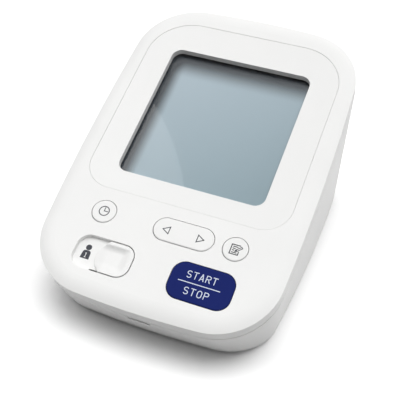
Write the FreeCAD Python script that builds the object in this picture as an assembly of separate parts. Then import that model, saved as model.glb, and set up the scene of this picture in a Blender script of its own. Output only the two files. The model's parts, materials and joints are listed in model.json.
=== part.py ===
import FreeCAD, Part
import math
import os

# Desk-top blood pressure monitor, in millimetres: X to the right, Y to the rear, Z up.
# The origin is on the table, under the middle of the housing.

# Overall size, standing on its feet
case_width = 105.0
case_depth = 152.0
case_height = 85.4
front_height = 26.164
panel_length = 151.3

# Housing form, seen square on to the sloping panel
rim_corner = 27.0
side_bow = 2.8
end_bow = 3.4
shoulder_width = 6.5
shoulder_drop = 1.5
crown_steps = 4
rim_height = 5.5
case_wall = 2.2
panel_wall = 2.8

# Foot of the housing, on the table
foot_height = 1.5
base_side_setback = 2.9
base_front_setback = 13.0
base_corner = 22.0
base_edge = 1.2
floor_wall = 2.2

# Lapped joint between the two case halves
lip_width = 0.95
lip_height = 1.8
lip_gap = 0.15
reveal_height = 0.6
reveal_depth = 0.8

# Scoop in the front wall under the rim, with a slit along its deepest line
scoop_width = 19.0
scoop_depth = 0.45
scoop_rise = 4.6
scoop_fall = 2.6
slit_width = 9.5
slit_height = 2.0

# Display, from the face inwards
plate_side_margin = 7.8
plate_top_margin = 10.5
plate_row_gap = 11.0
plate_top_corner = 20.0
plate_bottom_corner = 12.0
plate_thick = 1.2
plate_sunk = 0.1
plate_gap = 0.12
window_side_margin = 12.2
window_top_margin = 15.65
window_bottom_margin = 9.5
window_corner = 4.5
lens_thick = 1.2
lens_margin = 3.0
lens_gap = 0.2
lens_rail = 1.0
lcd_margin = 2.0
lcd_glass_thick = 1.1
lcd_step = 2.5
lcd_gap = 0.2
lcd_frame_wall = 1.5
lcd_ledge = 1.2
strip_width = 2.0

# Circuit board, hung from the panel
board_drop = 12.0
board_thick = 1.6
board_side_gap = 0.9
board_top_margin = 10.65
board_bottom_margin = 9.15
board_corner = 6.0
board_boss_radius = 2.9
board_boss_inset = 5.5
board_boss_row = 11.5
board_boss_low = 5.6
board_screw_radius = 1.25
board_screw_head = 2.4
board_screw_head_thick = 1.6
board_screw_length = 7.0
screw_gap = 0.15
screw_head_round = 0.5

# Buttons: two rows below the display
lower_row_inset = 18.05
row_pitch = 18.6
clock_across = -28.5
rocker_across = 6.6
memo_across = 28.4
start_across = 21.0
round_button_radius = 5.1
rocker_width = 25.6
rocker_length = 10.2
start_width = 25.8
start_length = 15.7
start_corner = 5.3
cap_gap = 0.25
cap_proud = 0.3
cap_edge = 0.5
flange_width = 1.2
flange_thick = 1.0
stem_radius = 2.0
button_travel = 0.7

# Tactile switches on the board
switch_size = 6.0
switch_body_height = 3.5
plunger_radius = 1.7
plunger_height = 1.5

# Rocker pivot: pins on the rocker turn in two ears under the panel
rocker_tilt = 2.0
rocker_switch_spread = 8.0
pivot_drop = 4.6
pivot_radius = 1.1
pivot_gap = 0.05
ear_thick = 1.8
ear_gap = 0.4
ear_width = 5.0
rocker_skirt = 1.2

# User selector: knob in a tray, over a slide switch
tray_across = -20.6
tray_width = 25.2
tray_length = 14.8
tray_corner = 5.4
tray_depth = 2.2
tray_floor = 1.2
knob_straight = 11.6
knob_bulge = 4.4
knob_slope = 2.4
knob_gap = 0.4
knob_dish_width = 12.2
knob_dish_length = 10.9
knob_dish_corner = 4.6
knob_dish_across = -1.3
knob_dish_up = -0.55
knob_dish_slope = 4.0
knob_dish_depth = 1.0
knob_dish_lead = 0.08
knob_dish_steps = 6
knob_blade_width = 3.0
knob_blade_thick = 0.6
knob_foot_width = 5.0
knob_foot_length = 4.0
knob_foot_thick = 1.2
lever_size = 2.0
lever_gap = 0.1
lever_engage = 2.0
slide_switch_length = 7.0
slide_switch_height = 3.6
slide_switch_end = 2.5
slide_slot_depth = 2.0

# Battery bay under the floor, cells lying front to rear
cell_count = 4
cell_diameter = 14.5
cell_length = 50.5
cell_nub_radius = 2.75
cell_nub_length = 1.3
cell_gap = 0.6
contact_space = 3.2
contact_thick = 0.4
contact_width = 9.0
contact_height = 10.0
contact_bend_share = 0.8
cell_rib_thick = 1.2
cell_rib_height = 3.0
bay_wall = 1.8
bay_y = 13.0
cover_gap = 0.3
cover_pad = 0.4
cover_tab_width = 8.0
cover_tab_spread = 19.0
cover_tab_thick = 1.2
cover_tab_length = 1.5
cover_latch_width = 16.0
cover_latch_length = 6.0
cover_grip_count = 4
cover_grip_size = 0.6
cover_grip_share = 0.8

# Screw towers and feet, near the corners
tower_radius = 4.5
tower_wall_gap = 1.0
tower_front = 14.6
tower_land = 3.0
front_tower_rise = 9.0
rear_tower_rise = 38.0
tower_boss_radius = 3.2
tower_web = 1.6
case_screw_radius = 1.5
case_screw_length = 14.0
case_screw_head = 2.9
case_screw_head_thick = 2.2
access_radius = 3.3
foot_radius = 5.0
foot_recess = 0.6
foot_side_inset = 14.5
foot_end_inset = 14.0

# Air pump, lying across the roof of the battery bay
pump_joint_x = 13.0
pump_rear_gap = 7.5
pump_lift = 2.0
motor_radius = 10.0
motor_length = 23.0
motor_boss_radius = 4.0
motor_boss_length = 2.0
head_radius = 11.0
head_length = 17.0
head_rib_count = 12
head_rib_share = 0.3
sleeve_width = 5.0
sleeve_thick = 1.3
motor_sleeve_share = 0.6
cradle_thick = 3.5
cradle_half = 9.0
cradle_gap = 0.15

# Air path: pump, valve, sensor and jack all meet in one manifold
manifold_radius = 3.5
manifold_end = 4.0
air_bore = 0.9
barb_radius = 1.6
barb_length = 4.5
tube_wall = 1.2
tube_gap = 0.08
tube_grip = 2.0
nozzle_gap = 1.0
valve_pitch = 22.0
valve_coil = 4.6
valve_coil_gap = 0.4
valve_length = 16.0
valve_yoke = 1.2
sensor_size = 8.0
sensor_height = 3.0
sensor_nozzle = 3.0

# Jack for the cuff's air plug, in the left wall
air_jack_bore = 2.7
air_jack_depth = 10.0
air_jack_flange = 7.0
air_jack_flange_thick = 1.4
air_jack_barrel = 4.4
air_jack_seat_wall = 2.0
air_jack_pad = 9.0
air_jack_fit = 0.15
air_jack_nut_thick = 3.0
air_jack_nut_flats = 12.0

# Low-voltage jack, in the rear wall
dc_jack_z = 16.0
dc_jack_width = 11.0
dc_jack_height = 10.0
dc_jack_length = 13.0
dc_jack_nose = 4.0
dc_jack_bore = 2.75
dc_jack_pin = 0.9
dc_jack_depth = 9.5
dc_jack_seat_wall = 2.0
dc_jack_pad = 7.5
dc_jack_fit = 0.2

# Sizes worked out from those above
half_width = case_width / 2
half_length = panel_length / 2
seam_drop = shoulder_drop + rim_height
crown_radius = (shoulder_width ** 2 + shoulder_drop ** 2) / (2 * shoulder_drop)
# The slope at which the panel's crown just reaches the case height from the front edge's height
crown_length = panel_length - shoulder_width
rise = case_height - front_height - crown_radius
tilt = math.atan2(crown_radius, crown_length) + math.asin(rise / math.hypot(crown_length, crown_radius))
panel_y = half_length * math.cos(tilt) - shoulder_drop * math.sin(tilt) - case_depth / 2
panel_z = front_height + half_length * math.sin(tilt)
base_half_width = half_width - base_side_setback
base_front = base_front_setback - case_depth / 2
base_rear = case_depth / 2
base_half_length = (base_rear - base_front) / 2
base_y = (base_rear + base_front) / 2
floor_top = foot_height + floor_wall
lower_row_up = lower_row_inset - half_length
upper_row_up = lower_row_up + row_pitch
plate_top = half_length - plate_top_margin
plate_bottom = upper_row_up + plate_row_gap
plate_width = case_width - 2 * plate_side_margin
plate_length = plate_top - plate_bottom
plate_up = (plate_top + plate_bottom) / 2
plate_seat = plate_sunk + plate_thick
window_width = plate_width - 2 * window_side_margin
window_length = plate_length - window_top_margin - window_bottom_margin
window_up = plate_bottom + window_bottom_margin + window_length / 2
board_back = board_drop + board_thick
lcd_width = window_width + 2 * lcd_margin
lcd_length = window_length + 2 * lcd_margin
lcd_face = panel_wall + lens_thick + lcd_gap
lcd_back = lcd_face + 2 * lcd_glass_thick
plunger_drop = board_drop - switch_body_height - plunger_height
rocker_travel = rocker_switch_spread * math.tan(math.radians(rocker_tilt))
sensor_tip = -board_back - sensor_height - sensor_nozzle
knob_length = tray_length - 2 * knob_gap
knob_travel = tray_width - knob_straight - knob_bulge - 2 * knob_gap
knob_right = tray_across + tray_width / 2 - knob_gap
knob_across = knob_right - knob_straight / 2
tray_edge = lower_row_up - tray_length / 2
tray_back = tray_depth + tray_floor
bay_width = cell_count * cell_diameter + (cell_count + 1) * cell_gap
bay_length = cell_length + 2 * contact_space
bay_front = bay_y - bay_length / 2
bay_rear = bay_y + bay_length / 2
cell_z = floor_top + cover_pad + cell_diameter / 2
bay_ceiling = cell_z + cell_diameter / 2 + cell_gap
bay_roof = bay_ceiling + bay_wall
tower_x = base_half_width - case_wall - tower_wall_gap - tower_radius
board_width = 2 * (tower_x - tower_radius - board_side_gap)
board_top_up = half_length - board_top_margin
board_bottom_up = board_bottom_margin - half_length
board_boss_x = board_width / 2 - board_boss_inset
board_boss_places = [
    (-board_boss_x, board_top_up - board_boss_inset),
    (board_boss_x, board_top_up - board_boss_inset),
    (-board_boss_x, upper_row_up + board_boss_row),
    (board_boss_x, upper_row_up + board_boss_row),
    (0.0, lower_row_up + board_boss_low),
]
foot_places = [
    (side * (base_half_width - foot_side_inset), y)
    for side in (-1, 1)
    for y in (base_front + foot_end_inset, base_rear - foot_end_inset)
]
air_z = bay_roof + pump_lift + head_radius
tube_radius = barb_radius + tube_gap + tube_wall
valve_half = valve_coil + valve_coil_gap


def vec(x, y, z=0.0):
    return FreeCAD.Vector(x, y, z)


panel_turn = FreeCAD.Rotation(vec(1, 0, 0), math.degrees(tilt))
panel_place = FreeCAD.Placement(vec(0, panel_y, panel_z), panel_turn)


def on_panel(shape):
    """Carry a shape drawn square on to the panel to its place on the slope."""
    placed = shape.copy()
    placed.Placement = panel_place.multiply(placed.Placement)
    return placed


def joined(shapes):
    """Fuse shapes into one solid without leftover seams."""
    return shapes[0].fuse(shapes[1:]).removeSplitter()


def box(x0, x1, y0, y1, z0, z1):
    return Part.makeBox(x1 - x0, y1 - y0, z1 - z0, vec(x0, y0, z0))


def disc(radius, x, y, z0, z1):
    """Upright cylinder between two heights."""
    return Part.makeCylinder(radius, z1 - z0, vec(x, y, z0))


def rod_x(radius, x0, x1, y, z):
    """Cylinder along X."""
    return Part.makeCylinder(radius, x1 - x0, vec(x0, y, z), vec(1, 0, 0))


def rod_y(radius, y0, y1, x, z):
    """Cylinder along Y."""
    return Part.makeCylinder(radius, y1 - y0, vec(x, y0, z), vec(0, 1, 0))


def prism(wire, low, high):
    """Straight solid on a flat outline drawn at height zero, between two heights."""
    face = Part.Face(wire)
    face.translate(vec(0, 0, low))
    return face.extrude(vec(0, 0, high - low))


def moved(shape, x, y, z=0.0):
    shape.translate(vec(x, y, z))
    return shape


def rounded_outline(width, length, corner, low_corner=None):
    """Rectangle about the origin with round corners; the two near corners may differ."""
    low_corner = corner if low_corner is None else low_corner
    x, y = width / 2, length / 2
    edges = []
    last = None
    for sx, sy, start, radius in ((1, -1, 270, low_corner), (1, 1, 0, corner), (-1, 1, 90, corner),
                                  (-1, -1, 180, low_corner)):
        centre = vec(sx * (x - radius), sy * (y - radius))
        spots = []
        for turn in (0, 45, 90):
            angle = math.radians(start + turn)
            spots.append(centre + vec(radius * math.cos(angle), radius * math.sin(angle)))
        if last is None:
            first = spots[0]
        elif last.distanceToPoint(spots[0]) > 1e-6:
            edges.append(Part.makeLine(last, spots[0]))
        edges.append(Part.Arc(*spots).toShape())
        last = spots[2]
    if last.distanceToPoint(first) > 1e-6:
        edges.append(Part.makeLine(last, first))
    return Part.Wire(edges)


def bowed_outline(half_x, half_y, corner, inset=0.0):
    """Round-cornered rectangle whose sides swell outwards, or the outline parallel to it inside."""
    side_radius = (half_y ** 2 + side_bow ** 2) / (2 * side_bow)
    end_radius = (half_x ** 2 + end_bow ** 2) / (2 * end_bow)
    side_x = half_x - side_radius
    end_y = half_y - end_radius
    # The corner arc touches both from inside, so its centre is where two circles cross.
    side_reach = side_radius - corner
    end_reach = end_radius - corner
    span = math.hypot(side_x, end_y)
    along = (side_reach ** 2 - end_reach ** 2 + span ** 2) / (2 * span)
    across = math.sqrt(side_reach ** 2 - along ** 2)
    centre = vec(side_x - (along * side_x + across * end_y) / span, (along * end_y - across * side_x) / span)
    side_way = (centre - vec(side_x, 0)).normalize()
    end_way = (centre - vec(0, end_y)).normalize()
    middle_way = (side_way + end_way).normalize()
    side_spot = vec(side_x, 0) + side_way * (side_radius - inset)
    end_spot = vec(0, end_y) + end_way * (end_radius - inset)
    corner_spot = centre + middle_way * (corner - inset)
    edges = []
    for sx, sy in ((1, 1), (-1, 1), (-1, -1), (1, -1)):
        sign = sx * sy
        start, stop = (side_spot, end_spot) if sign > 0 else (end_spot, side_spot)
        arc = [vec(sx * spot.x, sy * spot.y) for spot in (start, corner_spot, stop)]
        edges.append(Part.Arc(*arc).toShape())
        half = vec(0, sy * (half_y - inset)) if sign > 0 else vec(sx * (half_x - inset), 0)
        turn = vec(-stop.x * sx, stop.y * sy) if sign > 0 else vec(stop.x * sx, -stop.y * sy)
        edges.append(Part.Arc(arc[2], half, turn).toShape())
    return Part.Wire(edges)


def case_outline(inset=0.0, drop=0.0):
    """Outline of the housing parallel to the panel, at a depth below it."""
    return moved(bowed_outline(half_width, half_length, rim_corner, inset), 0, 0, -drop)


def base_outline(inset, z):
    """Outline of the housing's foot at a height above the table."""
    return moved(bowed_outline(base_half_width, base_half_length, base_corner, inset), 0, base_y, z)


def wall_lean(y, z):
    """Share of the way up the side wall, from its foot to the parting line."""
    seam_z = panel_z - seam_drop * math.cos(tilt) + (y - panel_y) * math.tan(tilt)
    return (z - foot_height) / (seam_z - foot_height)


def rear_wall(z):
    """Outside of the rear wall at a height above the table."""
    seam_y = panel_y + half_length * math.cos(tilt) + seam_drop * math.sin(tilt)
    seam_z = panel_z + half_length * math.sin(tilt) - seam_drop * math.cos(tilt)
    return base_rear + (seam_y - base_rear) * (z - foot_height) / (seam_z - foot_height)


def front_lean():
    """Angle of the front wall to the panel's normal, in degrees."""
    seam_y = panel_y - half_length * math.cos(tilt) + seam_drop * math.sin(tilt)
    seam_z = panel_z - half_length * math.sin(tilt) - seam_drop * math.cos(tilt)
    return math.degrees(math.atan2(base_front - seam_y, seam_z - foot_height) - tilt)


pump_reach = head_radius + sleeve_thick
pump_space = min(rear_wall(air_z - pump_reach), rear_wall(air_z + pump_reach)) - case_wall
pump_y = pump_space - pump_rear_gap - pump_reach
valve_y = pump_y - valve_pitch
air_jack_y = (pump_y + valve_y) / 2
nozzle_tip = pump_joint_x - head_length - barb_length
manifold_x = nozzle_tip - nozzle_gap - barb_length - manifold_radius
valve_x = nozzle_tip + barb_length + valve_yoke + valve_length / 2
pump_sleeve_places = [pump_joint_x - head_length / 2, pump_joint_x + motor_length * motor_sleeve_share]
air_jack_face = base_half_width + base_side_setback * wall_lean(air_jack_y, air_z)
air_jack_seat = air_jack_face - air_jack_flange_thick
air_jack_tip = air_jack_flange_thick + air_jack_depth + barb_length - air_jack_face
air_jack_nut_reach = air_jack_nut_flats / math.sqrt(3)
tower_rear_y = air_jack_y - air_jack_nut_reach - tower_wall_gap - tower_radius
tower_front_y = panel_y + (upper_row_up + tower_front) * math.cos(tilt)
tower_places = [
    (side * tower_x, y, rise_to)
    for y, rise_to in ((tower_front_y, front_tower_rise), (tower_rear_y, rear_tower_rise))
    for side in (-1, 1)
]
dc_jack_x = sum(pump_sleeve_places) / 2
dc_jack_face = min(rear_wall(dc_jack_z - dc_jack_pad), rear_wall(dc_jack_z + dc_jack_pad))
dc_jack_seat = dc_jack_face - dc_jack_seat_wall


def plate_outline(gap=0.0):
    wire = rounded_outline(plate_width + 2 * gap, plate_length + 2 * gap, plate_top_corner + gap,
                           plate_bottom_corner + gap)
    return moved(wire, 0, plate_up)


def window_outline(margin=0.0):
    wire = rounded_outline(window_width + 2 * margin, window_length + 2 * margin, window_corner + margin)
    return moved(wire, 0, window_up)


def start_outline(grow=0.0):
    wire = rounded_outline(start_width + 2 * grow, start_length + 2 * grow, start_corner + grow)
    return moved(wire, start_across, lower_row_up)


def rocker_outline(grow=0.0):
    wire = rounded_outline(rocker_width + 2 * grow, rocker_length + 2 * grow, rocker_length / 2 + grow)
    return moved(wire, rocker_across, upper_row_up)


def round_outline(across, grow=0.0):
    return Part.Wire([Part.makeCircle(round_button_radius + grow, vec(across, upper_row_up))])


def tray_outline(grow=0.0):
    wire = rounded_outline(tray_width + 2 * grow, tray_length + 2 * grow, tray_corner + grow)
    return moved(wire, tray_across, lower_row_up)


def case_crown():
    """Shoulder of the top cover: an arc that leaves the panel tangent and ends at the rim."""
    sections = []
    for step in range(crown_steps + 1):
        inset = shoulder_width * step / crown_steps
        fall = crown_radius - math.sqrt(crown_radius ** 2 - (shoulder_width - inset) ** 2)
        sections.append(case_outline(inset, fall))
    return Part.makeLoft(sections, True, False)


def rocker_ears():
    """Two drilled lugs under the panel that carry the rocker's pins."""
    ears = []
    reach = rocker_length / 2 + rocker_skirt + ear_gap
    for side in (-1, 1):
        near = upper_row_up + side * reach
        far = near + side * ear_thick
        low, high = min(near, far), max(near, far)
        left, right = rocker_across - ear_width / 2, rocker_across + ear_width / 2
        tip = rod_y(ear_width / 2, low, high, rocker_across, -pivot_drop)
        hole = rod_y(pivot_radius + pivot_gap, low, high, rocker_across, -pivot_drop)
        ears.append(box(left, right, low, high, -pivot_drop, -panel_wall).fuse(tip).cut(hole))
    return ears


def upper_case():
    rim = prism(case_outline(), -seam_drop, -shoulder_drop)
    hollow = prism(case_outline(case_wall), -seam_drop, -panel_wall)
    shell = joined([rim, case_crown()]).cut(hollow)
    slot_left = knob_across - knob_travel - knob_blade_width / 2 - knob_gap
    slot_right = knob_across + knob_blade_width / 2 + knob_gap
    slot_far = tray_edge + 2 * knob_gap + knob_blade_thick
    lap = prism(case_outline(case_wall - lip_width - lip_gap), -seam_drop, lip_height + lip_gap - seam_drop)
    openings = [
        lap,
        prism(plate_outline(plate_gap), -plate_seat, shoulder_drop),
        prism(window_outline(), -seam_drop, shoulder_drop),
        prism(start_outline(cap_gap), -seam_drop, shoulder_drop),
        prism(rocker_outline(cap_gap), -seam_drop, shoulder_drop),
        prism(round_outline(clock_across, cap_gap), -seam_drop, shoulder_drop),
        prism(round_outline(memo_across, cap_gap), -seam_drop, shoulder_drop),
        prism(tray_outline(), -tray_depth, shoulder_drop),
        box(slot_left, slot_right, tray_edge, slot_far, -seam_drop, -tray_depth),
    ]
    rail_low = -panel_wall - lens_thick
    rail_hole = prism(window_outline(lens_margin + lens_gap), rail_low, -panel_wall)
    rail = prism(window_outline(lens_margin + lens_gap + lens_rail), rail_low, -panel_wall).cut(rail_hole)
    tray_bottom = prism(tray_outline(tray_floor), -tray_back, -panel_wall)
    shell = joined([shell, tray_bottom, rail]).cut(openings)
    hangers = rocker_ears()
    pilots = []
    for across, up in board_boss_places:
        hangers.append(disc(board_boss_radius, across, up, -board_drop, -panel_wall))
        pilot_top = board_screw_length + screw_gap - board_back
        pilots.append(disc(board_screw_radius, across, up, -board_drop, pilot_top))
    cover = on_panel(joined([shell] + hangers).cut(pilots))
    above = on_panel(box(-case_width, case_width, -panel_length, panel_length, -panel_wall, case_height))
    for x, y, rise in tower_places:
        foot = foot_height + rise
        boss = disc(tower_boss_radius, x, y, foot, case_height).cut(above)
        pilot = disc(case_screw_radius, x, y, foot, foot + case_screw_length - tower_land)
        cover = joined([cover, boss]).cut(pilot)
    return cover


def battery_bay():
    """Outside of the battery bay's walls and roof."""
    wide = bay_width / 2 + bay_wall
    return box(-wide, wide, bay_front - bay_wall, bay_rear + bay_wall, floor_top, bay_roof)


def bay_hollows():
    """Inside of the battery bay, open below, with slots for the cover's tabs in its front wall."""
    half = bay_width / 2
    hollows = [box(-half, half, bay_front, bay_rear, 0, bay_ceiling)]
    for side in (-1, 1):
        middle = side * cover_tab_spread
        reach = cover_tab_width / 2 + cover_gap
        top = floor_top + cover_gap + 2 * cover_tab_thick
        hollows.append(box(middle - reach, middle + reach, bay_front - bay_wall, bay_front, floor_top, top))
    return hollows


def cell_ribs():
    """Low ribs under the bay's roof that keep the cells apart."""
    ribs = []
    for x in cell_places()[1:]:
        middle = x - (cell_diameter + cell_gap) / 2
        low = bay_ceiling - cell_rib_height
        left, right = middle - cell_rib_thick / 2, middle + cell_rib_thick / 2
        ribs.append(box(left, right, bay_front, bay_rear, low, bay_ceiling))
    return ribs


def cradle_rib(x, y, radius, half, low, high):
    """Upright rib with a round seat for a cylinder that lies along X."""
    rib = box(x - cradle_thick / 2, x + cradle_thick / 2, y - half, y + half, low, high)
    return rib.cut(rod_x(radius + cradle_gap, x - cradle_thick, x + cradle_thick, y, high))


def air_carriers():
    """Ribs and a post that carry the pump, the valve and the manifold."""
    carriers = []
    for x, radius in zip(pump_sleeve_places, (head_radius, motor_radius)):
        carriers.append(cradle_rib(x, pump_y, radius + sleeve_thick, cradle_half, floor_top, air_z))
    carriers.append(cradle_rib(valve_x, valve_y, valve_coil, valve_half + valve_yoke, floor_top, air_z))
    carriers.append(disc(barb_radius, manifold_x, air_jack_y, floor_top, air_z - manifold_radius))
    return carriers


def dc_jack_pocket():
    """Shelf that the rear jack's body stands on."""
    left, right = dc_jack_x - dc_jack_width / 2, dc_jack_x + dc_jack_width / 2
    low = dc_jack_z - dc_jack_height / 2
    return box(left, right, dc_jack_seat - dc_jack_length, dc_jack_seat, floor_top, low)


def dc_jack_body():
    """Block of the rear jack, up to the inside of the wall it looks through."""
    front = dc_jack_seat - dc_jack_seat_wall
    left, right = dc_jack_x - dc_jack_width / 2, dc_jack_x + dc_jack_width / 2
    low = dc_jack_z - dc_jack_height / 2
    return box(left, right, dc_jack_seat - dc_jack_length, front, low, low + dc_jack_height)


def air_jack_nut_space():
    """Spot face for the nut on the inside of the wall."""
    start = air_jack_seat_wall - air_jack_seat
    radius = air_jack_nut_reach + tube_gap
    return rod_x(radius, start, start + air_jack_nut_thick, air_jack_y, air_z)


def lower_case():
    seam = on_panel(case_outline(0.0, seam_drop))
    inner_seam = on_panel(case_outline(case_wall, seam_drop))
    outside = Part.makeLoft([seam, base_outline(0.0, foot_height + base_edge),
                             base_outline(base_edge, foot_height)], True, True)
    inside = Part.makeLoft([inner_seam, base_outline(case_wall, floor_top)], True, True)
    lip_out = prism(case_outline(case_wall - lip_width), -seam_drop, lip_height - seam_drop)
    lip_in = prism(case_outline(case_wall), -seam_drop, lip_height - seam_drop)
    reveal_out = prism(case_outline(-reveal_depth), -seam_drop - reveal_height, -seam_drop)
    reveal_in = prism(case_outline(reveal_depth), -seam_drop - reveal_height, -seam_drop)
    shell = joined([outside.cut(inside), on_panel(lip_out.cut(lip_in))])
    shell = shell.cut(on_panel(reveal_out.cut(reveal_in)))

    air_pad = rod_x(air_jack_pad, -air_jack_seat, air_jack_seat_wall - air_jack_seat, air_jack_y, air_z)
    dc_inside = dc_jack_seat - dc_jack_seat_wall
    dc_pad = rod_y(dc_jack_pad, dc_inside, dc_jack_face, dc_jack_x, dc_jack_z)
    inner_parts = [battery_bay(), air_pad, dc_pad.common(outside), dc_jack_pocket()] + air_carriers()
    cuts = []
    for x, y, rise in tower_places:
        top = foot_height + rise
        inner_parts.append(disc(tower_radius, x, y, floor_top, top))
        ends = sorted((x, math.copysign(case_width, x)))
        web = box(ends[0], ends[1], y - tower_web / 2, y + tower_web / 2, floor_top, top - tower_land)
        inner_parts.append(web.common(outside))
        cuts.append(disc(access_radius, x, y, 0, top - tower_land))
        cuts.append(disc(case_screw_radius + screw_gap, x, y, 0, top))
    for x, y in foot_places:
        cuts.append(disc(foot_radius + screw_gap, x, y, 0, foot_height + foot_recess))
    cuts.extend(bay_hollows())
    latch = cover_latch_width / 2
    cuts.append(box(-latch, latch, bay_rear, bay_rear + cover_latch_length, 0, floor_top))
    cuts.append(rod_x(air_jack_barrel + air_jack_fit, -case_width, -base_half_width / 2, air_jack_y, air_z))
    cuts.append(rod_x(air_jack_flange + air_jack_fit, -case_width, -air_jack_seat, air_jack_y, air_z))
    cuts.append(air_jack_nut_space())
    cuts.append(dc_jack_body())
    cuts.append(rod_y(dc_jack_nose + dc_jack_fit, dc_inside, case_depth, dc_jack_x, dc_jack_z))
    cuts.append(rod_y(dc_jack_pad - dc_jack_seat_wall, dc_jack_seat, case_depth, dc_jack_x, dc_jack_z))
    cuts.extend(front_scoop())
    return joined([joined([shell] + inner_parts).cut(cuts)] + cell_ribs())


def front_scoop():
    """Lens-shaped hollow in the leaning front wall with a slit along its deepest line."""
    radius = (scoop_width ** 2 / 4 + scoop_depth ** 2) / (2 * scoop_depth)
    cuts = []
    for low, high in ((0, scoop_rise), (-scoop_fall, 0)):
        lean = math.degrees(math.atan(scoop_depth / (low + high)))
        hollow = Part.makeCylinder(radius, 2 * panel_length, vec(0, -radius, -panel_length))
        hollow.rotate(vec(0, 0, 0), vec(1, 0, 0), lean)
        hollow.translate(vec(0, scoop_depth, 0))
        cuts.append(hollow.common(box(-scoop_width, scoop_width, -scoop_width, scoop_width, low, high)))
    half = slit_height / 2
    cuts.append(box(-slit_width / 2, slit_width / 2, -case_wall, 2 * case_wall, -half, half))
    for cut in cuts:
        cut.translate(vec(0, 0, -scoop_rise))
        cut.rotate(vec(0, 0, 0), vec(1, 0, 0), front_lean())
        cut.translate(vec(0, -half_length, -seam_drop))
    return [on_panel(cut) for cut in cuts]


def display_plate():
    plate = prism(plate_outline(), -plate_seat, -plate_sunk)
    return on_panel(plate.cut(prism(window_outline(), -plate_seat, 0)))


def display_lens():
    return on_panel(prism(window_outline(lens_margin), -panel_wall - lens_thick, -panel_wall))


def lcd_outline(margin):
    wire = rounded_outline(lcd_width + 2 * margin, lcd_length + 2 * margin, lcd_gap + margin)
    return moved(wire, 0, window_up)


def lcd_panel():
    """Two glasses; the rear one is longer and carries the contact ledges."""
    half = lcd_width / 2
    near, far = window_up - lcd_length / 2, window_up + lcd_length / 2
    joint = -lcd_face - lcd_glass_thick
    front = box(-half, half, near + lcd_step, far - lcd_step, joint, -lcd_face)
    rear = box(-half, half, near, far, -lcd_back, joint)
    return on_panel(front.fuse(rear))


def lcd_frame():
    """Box frame between lens and board, with a ledge that the cell lies on along its two sides."""
    outer = prism(lcd_outline(lcd_gap + lcd_frame_wall), -board_drop, -panel_wall - lens_thick)
    inner = prism(lcd_outline(lcd_gap), -board_drop, -panel_wall - lens_thick)
    frame = outer.cut(inner)
    edge = lcd_width / 2 + lcd_gap
    near, far = window_up - lcd_length / 2 - lcd_gap, window_up + lcd_length / 2 + lcd_gap
    for side in (-1, 1):
        ends = sorted((side * edge, side * (edge - lcd_ledge - lcd_gap)))
        frame = frame.fuse(box(ends[0], ends[1], near, far, -lcd_back - lcd_ledge, -lcd_back))
    return on_panel(frame.removeSplitter())


def lcd_strips():
    """Springy contact strips between the rear glass's two ledges and the board."""
    strips = []
    reach = lcd_width / 2 - lcd_ledge - lcd_gap
    half = strip_width / 2
    for side in (-1, 1):
        middle = window_up + side * (lcd_length / 2 - lcd_step / 2)
        strips.append(box(-reach, reach, middle - half, middle + half, -board_drop, -lcd_back))
    return on_panel(Part.makeCompound(strips))


def main_board():
    length = board_top_up - board_bottom_up
    middle = (board_top_up + board_bottom_up) / 2
    wire = moved(rounded_outline(board_width, length, board_corner), 0, middle)
    hole_radius = board_screw_radius + screw_gap
    holes = [disc(hole_radius, across, up, -board_back, -board_drop) for across, up in board_boss_places]
    return on_panel(prism(wire, -board_back, -board_drop).cut(holes))


def headed_screw(radius, length, rim_radius, head_thick):
    """Pan-head screw with its head below and its shank up along Z from the head's face at zero."""
    head = disc(rim_radius, 0, 0, -head_thick, 0)
    rim = [edge for edge in head.Edges if edge.BoundBox.ZMax < -head_thick / 2]
    head = head.makeChamfer(head_thick * screw_head_round, rim)
    return joined([head, disc(radius, 0, 0, 0, length)])


def board_screws():
    screws = []
    for across, up in board_boss_places:
        shank = board_screw_radius - screw_gap / 2
        screw = headed_screw(shank, board_screw_length, board_screw_head, board_screw_head_thick)
        screws.append(moved(screw, across, up, -board_back))
    return on_panel(Part.makeCompound(screws))


def case_screws():
    screws = []
    for x, y, rise in tower_places:
        shank = case_screw_radius - screw_gap / 2
        screw = headed_screw(shank, case_screw_length - screw_gap, case_screw_head, case_screw_head_thick)
        screws.append(moved(screw, x, y, foot_height + rise - tower_land))
    return Part.makeCompound(screws)


def capped(outline, flange_outline, stems):
    """Button: a cap through the panel, a flange that keeps it in and stems down to its switches."""
    cap = prism(outline, -panel_wall, cap_proud)
    rim = [edge for edge in cap.Edges if edge.BoundBox.ZMin > cap_proud - cap_edge / 2]
    cap = cap.makeFillet(cap_edge, rim)
    flange = prism(flange_outline, -panel_wall - flange_thick, -panel_wall)
    legs = [disc(stem_radius, x, y, -plunger_drop + button_travel, -panel_wall) for x, y in stems]
    return joined([cap, flange] + legs)


def start_button():
    return on_panel(capped(start_outline(), start_outline(flange_width), [(start_across, lower_row_up)]))


def round_button(across):
    button = capped(round_outline(across), round_outline(across, flange_width), [(across, upper_row_up)])
    return on_panel(button)


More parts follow.
